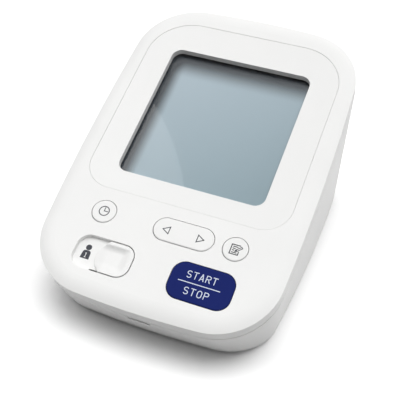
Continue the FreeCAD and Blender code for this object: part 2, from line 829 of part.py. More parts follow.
def arrow_rocker():
    cap = prism(rocker_outline(), -panel_wall - flange_thick, cap_proud)
    rim = [edge for edge in cap.Edges if edge.BoundBox.ZMin > cap_proud - cap_edge / 2]
    cap = cap.makeFillet(cap_edge, rim)
    half = rocker_length / 2 + rocker_skirt
    hub = rod_y(ear_width / 2, upper_row_up - half, upper_row_up + half, rocker_across, -pivot_drop)
    pin_half = half + ear_gap + ear_thick
    pins = rod_y(pivot_radius, upper_row_up - pin_half, upper_row_up + pin_half, rocker_across, -pivot_drop)
    leg_low = -plunger_drop + rocker_travel + pivot_gap
    legs = []
    for side in (-1, 1):
        across = rocker_across + side * rocker_switch_spread
        legs.append(disc(stem_radius, across, upper_row_up, leg_low, -panel_wall))
    reach = rocker_width
    above = box(-reach, reach, -reach, reach, -panel_wall - cap_gap, case_height)
    above = moved(above, rocker_across, upper_row_up)
    return on_panel(joined([cap, hub.cut(above), pins] + legs))


def button_switches():
    """Tactile switches on the board, one under each button and two under the rocker."""
    spots = [(start_across, lower_row_up)]
    rocker_ends = (rocker_across - rocker_switch_spread, rocker_across + rocker_switch_spread)
    for across in (clock_across, memo_across) + rocker_ends:
        spots.append((across, upper_row_up))
    switches = []
    top = switch_body_height - board_drop
    for across, up in spots:
        body = prism(moved(rounded_outline(switch_size, switch_size, cap_edge), across, up), -board_drop, top)
        plunger = disc(plunger_radius, across, up, top, top + plunger_height)
        switches.append(joined([body, plunger]))
    return on_panel(Part.makeCompound(switches))


def knob_outline(bulge, height):
    """Outline of the knob about its straight part: round corners to the right, a bowed end to the left."""
    corner = tray_corner - knob_gap
    half = knob_straight / 2
    side = knob_length / 2
    slant = corner * (1 - math.sqrt(0.5))
    spots = [
        vec(-half, -side), vec(half - corner, -side),
        vec(half - slant, slant - side), vec(half, corner - side),
        vec(half, side - corner), vec(half - slant, side - slant),
        vec(half - corner, side), vec(-half, side),
    ]
    edges = [
        Part.makeLine(spots[0], spots[1]),
        Part.Arc(spots[1], spots[2], spots[3]).toShape(),
        Part.makeLine(spots[3], spots[4]),
        Part.Arc(spots[4], spots[5], spots[6]).toShape(),
        Part.makeLine(spots[6], spots[7]),
        Part.Arc(spots[7], vec(-half - bulge, 0), spots[0]).toShape(),
    ]
    return moved(Part.Wire(edges), 0, 0, height)


def knob_dish():
    """Soft hollow for a fingertip: outlines that close in as a half wave goes down."""
    wires = []
    for step in range(knob_dish_steps + 1):
        share = step / knob_dish_steps
        inset = knob_dish_slope * share
        fall = (knob_dish_depth + knob_dish_lead) * (1 - math.cos(math.pi * share)) / 2
        width, length = knob_dish_width - 2 * inset, knob_dish_length - 2 * inset
        wire = rounded_outline(width, length, knob_dish_corner - inset)
        wires.append(moved(wire, knob_dish_across, knob_dish_up, cap_proud + knob_dish_lead - fall))
    return Part.makeLoft(wires, True, False)


def user_knob():
    """Dished knob in the tray; its blade passes a slot to a foot that keeps it in and holds the lever."""
    foot_wire = knob_outline(knob_bulge, -tray_depth)
    face_wire = knob_outline(knob_bulge - knob_slope, cap_proud)
    grip = Part.makeLoft([foot_wire, face_wire], True, True)
    lever_top = slide_switch_height + lever_engage - board_drop
    near = knob_gap - tray_length / 2
    foot_top = -tray_back - lever_gap
    foot_low = foot_top - knob_foot_thick
    blade_half = knob_blade_width / 2
    foot_half = knob_foot_width / 2
    reach = knob_foot_length / 2
    blade = box(-blade_half, blade_half, near, near + knob_blade_thick, foot_low, -tray_depth)
    plate = box(-foot_half, foot_half, near - knob_gap, reach, foot_low, foot_top)
    block = box(-foot_half, foot_half, -reach, reach, lever_top - lever_engage + lever_gap, foot_top)
    half = lever_size / 2 + lever_gap
    socket = box(-half, half, -half, half, -board_drop, lever_top + lever_gap)
    knob = joined([grip.cut(knob_dish()), blade, plate, block]).cut(socket)
    return on_panel(moved(knob, knob_across, lower_row_up))


def user_switch():
    top = slide_switch_height - board_drop
    half = lever_size / 2 + lever_gap
    left, right = knob_across - knob_travel - half, knob_across + half
    near, far = lower_row_up - slide_switch_length / 2, lower_row_up + slide_switch_length / 2
    body = box(left - slide_switch_end, right + slide_switch_end, near, far, -board_drop, top)
    slot = box(left, right, lower_row_up - half, lower_row_up + half, top - slide_slot_depth, top)
    return on_panel(body.cut(slot))


def user_switch_lever():
    top = slide_switch_height - board_drop
    half = lever_size / 2
    lever = box(knob_across - half, knob_across + half, lower_row_up - half, lower_row_up + half,
                top - slide_slot_depth + lever_gap, top + lever_engage)
    return on_panel(lever)


def ring_x(outer, inner, x0, x1, y, z):
    """Tube along X."""
    return rod_x(outer, x0, x1, y, z).cut(rod_x(inner, x0, x1, y, z))


def pump_motor():
    rear = pump_joint_x + motor_length
    can = rod_x(motor_radius, pump_joint_x, rear, pump_y, air_z)
    rim = [edge for edge in can.Edges if edge.BoundBox.XMin > rear - contact_thick]
    can = can.makeChamfer(motor_boss_length / 2, rim)
    return joined([can, rod_x(motor_boss_radius, rear, rear + motor_boss_length, pump_y, air_z)])


def pump_head():
    """Ribbed diaphragm head with its outlet nozzle towards the manifold."""
    front = pump_joint_x - head_length
    head = rod_x(head_radius, front, pump_joint_x, pump_y, air_z)
    grooves = []
    groove = head_length * head_rib_share
    for turn in range(head_rib_count):
        angle = 2 * math.pi * turn / head_rib_count
        y = pump_y + head_radius * math.cos(angle)
        z = air_z + head_radius * math.sin(angle)
        grooves.append(rod_x(air_bore, front, front + groove, y, z))
    nozzle = rod_x(barb_radius, front - barb_length, front, pump_y, air_z)
    bore = rod_x(air_bore, front - barb_length, front, pump_y, air_z)
    return joined([head.cut(grooves), nozzle]).cut(bore)


def pump_sleeves():
    sleeves = []
    for x, radius in zip(pump_sleeve_places, (head_radius, motor_radius)):
        left, right = x - sleeve_width / 2, x + sleeve_width / 2
        sleeves.append(ring_x(radius + sleeve_thick, radius + tube_gap, left, right, pump_y, air_z))
    return Part.makeCompound(sleeves)


def exhaust_valve():
    """Solenoid coil in a folded yoke, with its nozzle towards the manifold."""
    left, right = valve_x - valve_length / 2, valve_x + valve_length / 2
    near, far = valve_y - valve_half, valve_y + valve_half
    low, high = air_z - valve_half, air_z + valve_half
    coil = rod_x(valve_coil, left, right, valve_y, air_z)
    top = box(left, right, near, far, high, high + valve_yoke)
    plates = [box(x, x + valve_yoke, near, far, low, high + valve_yoke) for x in (left - valve_yoke, right)]
    front = left - valve_yoke
    nozzle = rod_x(barb_radius, front - barb_length, front, valve_y, air_z)
    bore = rod_x(air_bore, front - barb_length, front, valve_y, air_z)
    return joined([coil, top, nozzle] + plates).cut(bore)


def manifold_spot():
    """The manifold's middle, where the sensor's branch starts, in the panel's own coordinates."""
    return panel_place.inverse().multVec(vec(manifold_x, air_jack_y, air_z))


def air_manifold():
    near, far = valve_y - manifold_end, pump_y + manifold_end
    reach = manifold_radius + barb_length
    parts = [rod_y(manifold_radius, near, far, manifold_x, air_z)]
    bores = [rod_y(air_bore, near + air_bore, far - air_bore, manifold_x, air_z)]
    for y in (valve_y, pump_y):
        parts.append(rod_x(barb_radius, manifold_x, manifold_x + reach, y, air_z))
        bores.append(rod_x(air_bore, manifold_x, manifold_x + reach, y, air_z))
    parts.append(rod_x(barb_radius, manifold_x - reach, manifold_x, air_jack_y, air_z))
    bores.append(rod_x(air_bore, manifold_x - reach, manifold_x, air_jack_y, air_z))
    spot = manifold_spot()
    parts.append(on_panel(disc(barb_radius, spot.x, spot.y, spot.z, sensor_tip - nozzle_gap)))
    bores.append(on_panel(disc(air_bore, spot.x, spot.y, spot.z, sensor_tip - nozzle_gap)))
    return joined(parts).cut(bores)


def pressure_sensor():
    spot = manifold_spot()
    low = -board_back - sensor_height
    body = prism(moved(rounded_outline(sensor_size, sensor_size, cap_edge), spot.x, spot.y), low, -board_back)
    nozzle = disc(barb_radius, spot.x, spot.y, sensor_tip, low)
    bore = disc(air_bore, spot.x, spot.y, sensor_tip, low)
    return on_panel(joined([body, nozzle]).cut(bore))


def air_tubes():
    """Short sleeves pushed over facing pairs of nozzles."""
    inner = barb_radius + tube_gap
    tubes = []
    right_start = manifold_x + manifold_radius + barb_length - tube_grip
    for y in (valve_y, pump_y):
        tubes.append(ring_x(tube_radius, inner, right_start, nozzle_tip + tube_grip, y, air_z))
    left_end = manifold_x - manifold_radius - barb_length + tube_grip
    tubes.append(ring_x(tube_radius, inner, air_jack_tip - tube_grip, left_end, air_jack_y, air_z))
    spot = manifold_spot()
    low = sensor_tip - nozzle_gap - tube_grip
    high = sensor_tip + sensor_nozzle - tube_gap
    outer = disc(tube_radius, spot.x, spot.y, low, high)
    tubes.append(on_panel(outer.cut(disc(inner, spot.x, spot.y, low, high))))
    return Part.makeCompound(tubes)


def turned_x(profile, y, z):
    """Body of revolution about an axis along X, from points given as position and radius."""
    points = [vec(x, y, z + radius) for x, radius in profile]
    face = Part.Face(Part.makePolygon(points + points[:1]))
    return face.revolve(vec(0, y, z), vec(1, 0, 0), 360)


def air_jack():
    """Turned socket: flange outside the wall, stepped bore and a tail for the inner tube."""
    mouth = -air_jack_face
    seat = -air_jack_seat
    bottom = mouth + air_jack_depth
    shoulder = bottom + air_jack_flange_thick
    profile = [
        (mouth, air_jack_bore), (mouth, air_jack_flange), (seat, air_jack_flange), (seat, air_jack_barrel),
        (shoulder, air_jack_barrel), (shoulder, barb_radius), (air_jack_tip, barb_radius),
        (air_jack_tip, air_bore), (bottom, air_bore), (bottom, air_jack_bore),
    ]
    return turned_x(profile, air_jack_y, air_z)


def air_jack_nut():
    """Hexagon nut on the jack's barrel, against the inside of the wall."""
    start = air_jack_seat_wall - air_jack_seat
    corners = []
    for turn in range(7):
        angle = math.pi * turn / 3
        across, up = air_jack_nut_reach * math.cos(angle), air_jack_nut_reach * math.sin(angle)
        corners.append(vec(start, air_jack_y + across, air_z + up))
    nut = Part.Face(Part.makePolygon(corners)).extrude(vec(air_jack_nut_thick, 0, 0))
    return nut.cut(rod_x(air_jack_barrel + tube_gap, start, start + air_jack_nut_thick, air_jack_y, air_z))


def dc_jack():
    """Moulded block with a round nose in the wall, an open bore and a centre pin."""
    front = dc_jack_seat - dc_jack_seat_wall
    nose = rod_y(dc_jack_nose, front, dc_jack_seat, dc_jack_x, dc_jack_z)
    bore = rod_y(dc_jack_bore, dc_jack_seat - dc_jack_depth, dc_jack_seat, dc_jack_x, dc_jack_z)
    pin = rod_y(dc_jack_pin, dc_jack_seat - dc_jack_depth, dc_jack_seat - dc_jack_pin, dc_jack_x, dc_jack_z)
    return joined([joined([dc_jack_body(), nose]).cut(bore), pin])


def cell_places():
    pitch = cell_diameter + cell_gap
    return [(index - (cell_count - 1) / 2) * pitch for index in range(cell_count)]


def battery_cells():
    """Cells side by side, each the other way round from its neighbour."""
    cells = []
    body_length = cell_length - cell_nub_length
    for index, x in enumerate(cell_places()):
        nub_first = index % 2
        start = bay_y - cell_length / 2 + nub_first * cell_nub_length
        can = rod_y(cell_diameter / 2, start, start + body_length, x, cell_z)
        nub_start = start - cell_nub_length if nub_first else start + body_length
        cells.append(joined([can, rod_y(cell_nub_radius, nub_start, nub_start + cell_nub_length, x, cell_z)]))
    return Part.makeCompound(cells)


def leaf_contact(x, wall, towards):
    """Sheet-metal plate on the bay's wall with a bent tongue that reaches the cell's end."""
    reach = contact_space - cover_gap
    half = contact_height / 2
    bend = half * contact_bend_share
    outline = [(0, -half), (contact_thick, -half), (contact_thick, -bend), (reach, 0), (contact_thick, bend),
               (contact_thick, half), (0, half), (0, bend - contact_thick), (reach - 2 * contact_thick, 0),
               (0, contact_thick - bend)]
    points = [vec(x - contact_width / 2, wall + towards * y, cell_z + z) for y, z in outline]
    tongue = Part.Face(Part.makePolygon(points + points[:1]))
    return tongue.extrude(vec(contact_width, 0, 0))


def battery_contacts():
    leaves = []
    for x in cell_places():
        leaves.append(leaf_contact(x, bay_front, 1))
        leaves.append(leaf_contact(x, bay_rear, -1))
    return Part.makeCompound(leaves)


def battery_cover():
    """Flush cover: hook tabs at its front edge, a ridged finger latch at its rear edge."""
    half = bay_width / 2 - cover_gap
    front, rear = bay_front + cover_gap, bay_rear - cover_gap
    latch = cover_latch_width / 2 - cover_gap
    latch_end = bay_rear + cover_latch_length - cover_gap
    parts = [box(-half, half, front, rear, foot_height, floor_top),
             box(-latch, latch, rear, latch_end, foot_height, floor_top)]
    tab_half = cover_tab_width / 2
    low = floor_top + cover_gap / 2
    for side in (-1, 1):
        left, right = side * cover_tab_spread - tab_half, side * cover_tab_spread + tab_half
        tab_top = low + cover_tab_thick
        parts.append(box(left, right, front, front + cover_tab_length, floor_top, tab_top))
        parts.append(box(left, right, bay_front - cover_tab_length, front, low, tab_top))
    grooves = []
    pitch = cover_latch_length / cover_grip_count
    grip = latch * cover_grip_share
    for step in range(cover_grip_count):
        y = latch_end - pitch * (step + 0.5)
        grooves.append(rod_x(cover_grip_size, -grip, grip, y, foot_height))
    return joined(parts).cut(grooves)


def rubber_feet():
    feet = []
    for x, y in foot_places:
        foot = disc(foot_radius, x, y, 0, foot_height + foot_recess)
        rim = [edge for edge in foot.Edges if edge.BoundBox.ZMax < foot_recess]
        feet.append(foot.makeChamfer(foot_recess, rim))
    return Part.makeCompound(feet)


nodes = {
    "upper_case": upper_case(),
    "lower_case": lower_case(),
    "display_plate": display_plate(),
    "display_lens": display_lens(),
    "lcd_panel": lcd_panel(),
    "lcd_frame": lcd_frame(),
    "lcd_strips": lcd_strips(),
    "main_board": main_board(),
    "board_screws": board_screws(),
    "case_screws": case_screws(),
    "button_switches": button_switches(),
    "start_button": start_button(),
    "clock_button": round_button(clock_across),
    "memo_button": round_button(memo_across),
    "arrow_rocker": arrow_rocker(),
    "user_knob": user_knob(),
    "user_switch": user_switch(),
    "user_switch_lever": user_switch_lever(),
    "pressure_sensor": pressure_sensor(),
    "pump_motor": pump_motor(),
    "pump_head": pump_head(),
    "pump_sleeves": pump_sleeves(),
    "exhaust_valve": exhaust_valve(),
    "air_manifold": air_manifold(),
    "air_tubes": air_tubes(),
    "air_jack": air_jack(),
    "air_jack_nut": air_jack_nut(),
    "dc_jack": dc_jack(),
    "battery_cells": battery_cells(),
    "battery_contacts": battery_contacts(),
    "battery_cover": battery_cover(),
    "rubber_feet": rubber_feet(),
}

os.makedirs("parts", exist_ok=True)
for name, shape in nodes.items():
    shape.exportStep("parts/" + name + ".step")
    print(name, len(shape.Solids), "solids", round(shape.Volume, 1), "mm3", "valid", shape.isValid())
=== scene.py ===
# %% [markdown]
# A desk-top blood pressure monitor: a white moulded housing with a sloping panel, a large display
# behind a clear window, four keys, a user slide and a battery cover underneath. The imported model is
# loaded first. It is the fixed frame: every piece made here is in metres, stands where that model
# says, and rides on one of its bodies, so it moves when a key is pressed or the cover is opened.

# %% Frame
import json
import math
import bpy
import bmesh
from mathutils import Matrix, Vector
from mathutils.bvhtree import BVHTree


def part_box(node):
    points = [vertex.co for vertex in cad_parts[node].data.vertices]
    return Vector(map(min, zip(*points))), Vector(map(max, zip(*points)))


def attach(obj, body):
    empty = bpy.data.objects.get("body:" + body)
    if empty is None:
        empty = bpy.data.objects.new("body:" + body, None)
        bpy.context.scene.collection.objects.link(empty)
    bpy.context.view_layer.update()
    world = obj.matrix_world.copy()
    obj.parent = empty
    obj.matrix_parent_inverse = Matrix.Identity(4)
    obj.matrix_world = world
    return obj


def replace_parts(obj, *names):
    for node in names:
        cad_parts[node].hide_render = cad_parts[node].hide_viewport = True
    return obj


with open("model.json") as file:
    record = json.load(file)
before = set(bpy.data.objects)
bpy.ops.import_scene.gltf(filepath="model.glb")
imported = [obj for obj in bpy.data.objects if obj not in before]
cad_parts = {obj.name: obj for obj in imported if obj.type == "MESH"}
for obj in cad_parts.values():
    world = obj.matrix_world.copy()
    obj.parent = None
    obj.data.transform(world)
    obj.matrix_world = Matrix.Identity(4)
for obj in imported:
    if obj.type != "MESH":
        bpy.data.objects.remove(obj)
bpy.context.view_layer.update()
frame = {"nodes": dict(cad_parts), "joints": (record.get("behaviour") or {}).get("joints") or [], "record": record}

nodes = frame["nodes"]

# %% [markdown]
# All printed and pressed things on the monitor are set out on its sloping panel, so it helps to
# have a frame of reference there: across to the user's right, up along the slope, and out of the
# panel. The keys travel straight into the panel, so the start key's joint gives the direction of
# the slope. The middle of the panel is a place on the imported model.

# %% Panel frame
mm = 0.001
panel_middle = Vector((0, -7.283, 56.463)) * mm
press = Vector(next(joint["axis"] for joint in frame["joints"] if joint["name"] == "start_press"))
outward = -press.normalized()
rightward = Vector((1, 0, 0))
upward = outward.cross(rightward)
slope = math.atan2(upward.z, upward.y)


def panel_point(across, up, out):
    """Point in the frame from millimetres on the panel."""
    return panel_middle + (rightward * across + upward * up + outward * out) * mm


print("panel slope:", round(math.degrees(slope), 2), "degrees")

# %% [markdown]
# Materials come next. A few small helpers keep them readable. One turns the sRGB colours that a
# painter would name into the linear values that the shaders use. One turns the real size of a
# pattern into the scale of a texture. One adds a node, sets its properties and feeds its inputs,
# either with a value or with another node's output. One mixes two colours: a Mix node has its
# colour sockets only by number, so those get names here. No real surface has one even colour, so
# the last one varies it between two close shades.

# %% Helpers for materials
mix_by, mix_from, mix_to, mixed = 0, 6, 7, 2


def colour(code):
    """Linear colour from an sRGB hex value."""
    parts = [int(code[start:start + 2], 16) / 255 for start in (1, 3, 5)]
    linear = [part / 12.92 if part <= 0.04045 else ((part + 0.055) / 1.055) ** 2.4 for part in parts]
    return linear + [1.0]


def scale_of(size_mm):
    """Scale of a texture whose pattern has a real size in millimetres."""
    return 1000 / size_mm


def feed(node, inputs):
    """Set a node's inputs to values, or link them to other nodes' outputs."""
    for key, value in inputs.items():
        if isinstance(value, bpy.types.NodeSocket):
            node.id_data.links.new(value, node.inputs[key])
        else:
            node.inputs[key].default_value = value


def add(tree, kind, inputs=None, **settings):
    """Add a node to a tree, with its settings and with what feeds its inputs."""
    made = tree.nodes.new(kind)
    for name, value in settings.items():
        setattr(made, name, value)
    feed(made, inputs or {})
    return made


def new_finish(name):
    """A named material, with its tree, its main shader and its Object coordinates."""
    material = bpy.data.materials.new(name)
    material.use_nodes = True
    tree = material.node_tree
    place = add(tree, "ShaderNodeTexCoord").outputs["Object"]
    return material, tree, tree.nodes["Principled BSDF"], place


def blend(tree, share, first, second):
    """Colour that goes from the first to the second with a share from 0 to 1."""
    mix = add(tree, "ShaderNodeMix", {
        mix_by: share, mix_from: first, mix_to: second}, data_type="RGBA")
    return mix.outputs[mixed]


def mottled(tree, place, size_mm, pale, deep, detail=2.0, roughness=0.5):
    """Colour that a noise of a real size in millimetres varies between two shades."""
    noise = add(tree, "ShaderNodeTexNoise", {
        "Vector": place, "Scale": scale_of(size_mm), "Detail": detail, "Roughness": roughness})
    return blend(tree, noise.outputs["Fac"], colour(pale), colour(deep))


print("linear mid grey:", [round(value, 3) for value in colour("#808080")])

# %% [markdown]
# Most of the monitor is injection-moulded plastic. What the eye sees on such a part is a fine grain
# that the mould's spark-eroded wall leaves, very faint flow marks where the melt cooled unevenly,
# and a gloss that changes a little with the grain. One function makes that family, from two shades
# for the flow marks, the grain's size and depth in millimetres, the middle roughness and the
# strength of the shine, in this order. The real grain is about 0.2 mm, finer than a pixel of the
# picture, so it is drawn at 0.6 to 0.9 mm to show at all.

# %% Moulded plastics
flow_mm = 22
gloss_range = 0.05


def moulded(name, pale, deep, grain_mm, depth_mm, rough, shine):
    """Moulded plastic: long flow marks, a fine grain, and a gloss that follows the grain."""
    material, tree, shader, place = new_finish(name)
    tint = mottled(tree, place, flow_mm, pale, deep, detail=3.0, roughness=0.45)
    grain = add(tree, "ShaderNodeTexNoise", {
        "Vector": place, "Scale": scale_of(grain_mm), "Detail": 2.0})
    gloss = add(tree, "ShaderNodeMapRange", {
        "Value": grain.outputs["Fac"], "From Min": 0.3, "From Max": 0.7,
        "To Min": rough - gloss_range, "To Max": rough + gloss_range})
    bump = add(tree, "ShaderNodeBump", {
        "Strength": 0.35, "Distance": depth_mm * mm, "Height": grain.outputs["Fac"]})
    feed(shader, {
        "Base Color": tint, "Roughness": gloss.outputs["Result"], "Normal": bump.outputs["Normal"],
        "IOR": 1.52, "Specular IOR Level": shine})
    return material


case_plastic = moulded("moulded white ABS, spark-eroded", "#F3F3F2", "#EEEEED", 0.9, 0.03, 0.46, 0.4)
plate_plastic = moulded("pressed white PET face sheet", "#F0F0EF", "#EDEDEC", 0.8, 0.01, 0.34, 0.45)
key_plastic = moulded("moulded white ABS key cap", "#F2F2F1", "#EDEDEC", 0.7, 0.015, 0.38, 0.4)
navy_plastic = moulded("moulded navy ABS key cap", "#1E2968", "#1A2562", 0.7, 0.012, 0.4, 0.04)
black_plastic = moulded("moulded black PBT", "#26272A", "#1D1E20", 0.6, 0.02, 0.45, 0.4)
nylon_plastic = moulded("moulded natural nylon", "#E2E0D6", "#D6D3C7", 0.7, 0.02, 0.42, 0.4)
rubber = moulded("moulded grey rubber", "#55565A", "#494A4D", 0.6, 0.05, 0.72, 0.3)
print("moulded plastics:", len(bpy.data.materials), "materials")

# %% [markdown]
# The printed signs are screen-printed ink, a few hundredths of a millimetre thick. Ink lies a
# little unevenly, so its colour is broken up by a fine noise and it is less glossy than the cap
# under it.

# %% Inks
lay_mm = 0.5


def ink(name, pale, deep):
    """Screen-printed ink with an uneven lay."""
    material, tree, shader, place = new_finish(name)
    tint = mottled(tree, place, lay_mm, pale, deep)
    feed(shader, {"Base Color": tint, "Roughness": 0.55, "Specular IOR Level": 0.25})
    return material


slate_ink = ink("slate screen-printed ink", "#484A50", "#3F4147")
pale_ink = ink("pale blue screen-printed ink", "#DCE4F2", "#D2DBEC")
print("inks:", slate_ink.name, "and", pale_ink.name)

# %% [markdown]
# The window is clear cast acrylic. It has an IOR of 1.49 and a polished face with very faint wipe
# marks, which only change its gloss. Light has to reach the display through it, and a path tracer
# can't find a lamp through glass, so shadow rays pass straight through.

# %% Acrylic window
wipe_mm = 9
acrylic, tree, shader, place = new_finish("polished clear acrylic")
wipe = add(tree, "ShaderNodeTexNoise", {
    "Vector": place, "Scale": scale_of(wipe_mm), "Detail": 4.0, "Distortion": 1.2})
polish = add(tree, "ShaderNodeMapRange", {
    "Value": wipe.outputs["Fac"], "From Min": 0.35, "From Max": 0.75, "To Min": 0.01, "To Max": 0.04})
feed(shader, {
    "Base Color": colour("#FBFDFD"), "Roughness": polish.outputs["Result"], "IOR": 1.49,
    "Transmission Weight": 1.0})
rays = add(tree, "ShaderNodeLightPath")
through = add(tree, "ShaderNodeBsdfTransparent", {"Color": colour("#F4F7F7")})
either = add(tree, "ShaderNodeMixShader", {
    0: rays.outputs["Is Shadow Ray"], 1: shader.outputs["BSDF"], 2: through.outputs["BSDF"]})
feed(tree.nodes["Material Output"], {"Surface": either.outputs["Shader"]})
print("window:", acrylic.name)

# %% [markdown]
# The display is a reflective liquid crystal cell. Switched off, it is a plain grey-blue sheet.
# Light is painted into its colour in three ways: a painted shade that makes it lighter towards the
# upper left corner and darker towards the lower right, a fine painted sparkle of lighter specks for
# the glints of its reflector, and a painted shadow at the top and the left, dark next to the
# window's walls and fading out over some millimetres. A helper turns the pattern into the panel's
# own frame, where all its places are given in millimetres. The circuit board needs the same turn
# later.

# %% Display sheet, with painted shade and painted sparkle
sparkle_mm = 0.5
painted_shade_way = (0.55, -0.84, 0)
painted_shade_start, painted_shade_end = -55, 30


def on_panel(tree, place):
    """Coordinates in the panel's own frame, in metres."""
    turned = add(tree, "ShaderNodeMapping", {
        "Vector": place, "Location": panel_middle, "Rotation": (slope, 0, 0)}, vector_type="TEXTURE")
    return turned.outputs["Vector"]


cell_glass, tree, shader, place = new_finish("reflective liquid crystal cell")
place = on_panel(tree, place)
# Painted shade: the colour runs from pale at the upper left to darker at the lower right, for the way light falls
# across the display.
lean = add(tree, "ShaderNodeVectorMath", {0: place, 1: painted_shade_way}, operation="DOT_PRODUCT")
shade = add(tree, "ShaderNodeMapRange", {
    "Value": lean.outputs["Value"], "From Min": painted_shade_start * mm, "From Max": painted_shade_end * mm})
sheet = blend(tree, shade.outputs["Result"], colour("#D6E2ED"), colour("#A3B9C4"))
# Painted sparkle: a fine noise adds lighter specks for the glints of the reflector.
sparkle = add(tree, "ShaderNodeTexNoise", {
    "Vector": place, "Scale": scale_of(sparkle_mm), "Detail": 1.0})
faint = add(tree, "ShaderNodeMapRange", {
    "Value": sparkle.outputs["Fac"], "To Min": 0.0, "To Max": 0.12})
painted_shade_and_sparkle = blend(tree, faint.outputs["Result"], sheet, colour("#C4D0D6"))
display_low, display_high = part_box("lcd_panel")
print("display box (mm):", [round(value / mm, 1) for value in display_high - display_low])

# %% [markdown]
# The painted shadow could be two dark bands, but they would meet in a sharp corner. Here each side
# gives a share from 0 to 1, and the length of the two shares taken as one vector rounds the painted
# shadow's inner corner.

# %% Display's painted shadow
# Where the painted shadow of the window's left and top walls fades out, in millimetres on the panel.
left_painted_shadow = (-24.4, -30.9)
top_painted_shadow = (36.6, 47.4)
spot = add(tree, "ShaderNodeSeparateXYZ", {"Vector": place})
shares = {}
for axis, (start, end) in (("X", left_painted_shadow), ("Y", top_painted_shadow)):
    ramp = add(tree, "ShaderNodeMapRange", {
        "Value": spot.outputs[axis], "From Min": start * mm, "From Max": end * mm})
    shares[axis] = ramp.outputs["Result"]
both = add(tree, "ShaderNodeCombineXYZ", shares)
reach = add(tree, "ShaderNodeVectorMath", {0: both.outputs["Vector"]}, operation="LENGTH")
edge = add(tree, "ShaderNodeMapRange", {
    "Value": reach.outputs["Value"]}, interpolation_type="SMOOTHSTEP")
# Painted shadow: this dark colour stands for the shade that the window's walls throw on the display, not for
# print.
printed = blend(tree, edge.outputs["Result"], painted_shade_and_sparkle, colour("#232C36"))
feed(shader, {"Base Color": printed, "Roughness": 0.3, "Specular IOR Level": 0.2})
print("display:", cell_glass.name)

# %% [markdown]
# Plated steel has a soft, slightly brushed gloss: a noise that is stretched along one axis changes
# its shade and its roughness. As a metal it keeps the default IOR.

# %% Plated steel
brush_mm = (0.5, 6, 0.5)
steel, tree, shader, place = new_finish("nickel-plated steel")
place = add(tree, "ShaderNodeMapping", {
    "Vector": place, "Scale": [scale_of(size) for size in brush_mm]})
brush = add(tree, "ShaderNodeTexNoise", {
    "Vector": place.outputs["Vector"], "Scale": 1.0, "Detail": 3.0})
tint = blend(tree, brush.outputs["Fac"], colour("#CFCFD0"), colour("#B9BABC"))
gloss = add(tree, "ShaderNodeMapRange", {
    "Value": brush.outputs["Fac"], "To Min": 0.22, "To Max": 0.42})
feed(shader, {"Base Color": tint, "Roughness": gloss.outputs["Result"], "Metallic": 1.0})
print("metal:", steel.name)

# %% [markdown]
# The circuit board is glass-fibre laminate under a green lacquer. Its weave shows as a fine check
# of about 0.6 mm, and copper runs under the lacquer as slightly lighter lanes, which are the joints
# of a brick pattern.

# %% Lacquered laminate
weave_mm, lane_mm = 0.6, 9
black, white = (0, 0, 0, 1), (1, 1, 1, 1)
laminate, tree, shader, place = new_finish("lacquered glass-fibre laminate")
place = on_panel(tree, place)
weave = add(tree, "ShaderNodeTexChecker", {
    "Vector": place, "Scale": scale_of(weave_mm),
    "Color1": colour("#1C5A34"), "Color2": colour("#195230")})
lanes = add(tree, "ShaderNodeTexBrick", {
    "Vector": place, "Scale": scale_of(lane_mm), "Mortar Size": 0.03,
    "Color1": black, "Color2": black, "Mortar": white})
copper = blend(tree, lanes.outputs["Color"], weave.outputs["Color"], colour("#3C8A54"))
feed(shader, {"Base Color": copper, "Roughness": 0.35})
print("board:", laminate.name)

# %% [markdown]
# The air tubes are translucent silicone, milky and soft. Light scatters in them, so they get some
# subsurface weight besides a milky colour and a satin gloss.

# %% Silicone
cloud_mm = 4
silicone, tree, shader, place = new_finish("extruded milky silicone")
tint = mottled(tree, place, cloud_mm, "#E4E3DD", "#D8D7D0")
feed(shader, {
    "Base Color": tint, "Roughness": 0.4, "Subsurface Weight": 0.2,
    "Subsurface Radius": (0.0015, 0.0014, 0.0012)})
print("tubes:", silicone.name)

# %% [markdown]
# The cells have a shrunk plastic sleeve and bare metal ends. The sleeve here is plain and dark,
# with faint rubbed patches. The cells lie along the frame's Y axis, so the distance from their
# middle along Y alone tells where the sleeve stops.

# %% Cell sleeve
rub_mm, bare_end = 3, 1.9
cells_low, cells_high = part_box("battery_cells")
cells_middle_y = (cells_low.y + cells_high.y) / 2
sleeve_half = (cells_high.y - cells_low.y) / 2 - bare_end * mm
sleeve, tree, shader, place = new_finish("shrunk cell sleeve and steel ends")
spot = add(tree, "ShaderNodeSeparateXYZ", {"Vector": place})
along = add(tree, "ShaderNodeMath", {0: spot.outputs["Y"], 1: cells_middle_y}, operation="SUBTRACT")
along = add(tree, "ShaderNodeMath", {0: along.outputs[0]}, operation="ABSOLUTE")
bare = add(tree, "ShaderNodeMath", {0: along.outputs[0], 1: sleeve_half}, operation="GREATER_THAN")
tint = mottled(tree, place, rub_mm, "#2A2C31", "#35373C", detail=3.0)
ends = blend(tree, bare.outputs[0], tint, colour("#C2C2C3"))
feed(shader, {"Base Color": ends, "Metallic": bare.outputs[0], "Roughness": 0.33})
print("cells:", sleeve.name)

# %% [markdown]
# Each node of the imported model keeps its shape, and takes the finish of its material slot. A slot
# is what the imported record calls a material, so one table joins the two.

# %% Finishes for the nodes
finish_of_slot = {
    "case_white": case_plastic, "plate_white": plate_plastic, "key_white": key_plastic,
    "key_navy": navy_plastic, "lens_clear": acrylic, "lcd_glass": cell_glass, "board_green": laminate,
    "inner_black": black_plastic, "inner_white": nylon_plastic, "rubber_grey": rubber,
    "silicone": silicone, "steel": steel, "cell_jacket": sleeve,
}
for part in frame["record"]["subparts"]:
    mesh = nodes[part["node"]].data
    mesh.materials.clear()
    mesh.materials.append(finish_of_slot[part["material_slot"]])

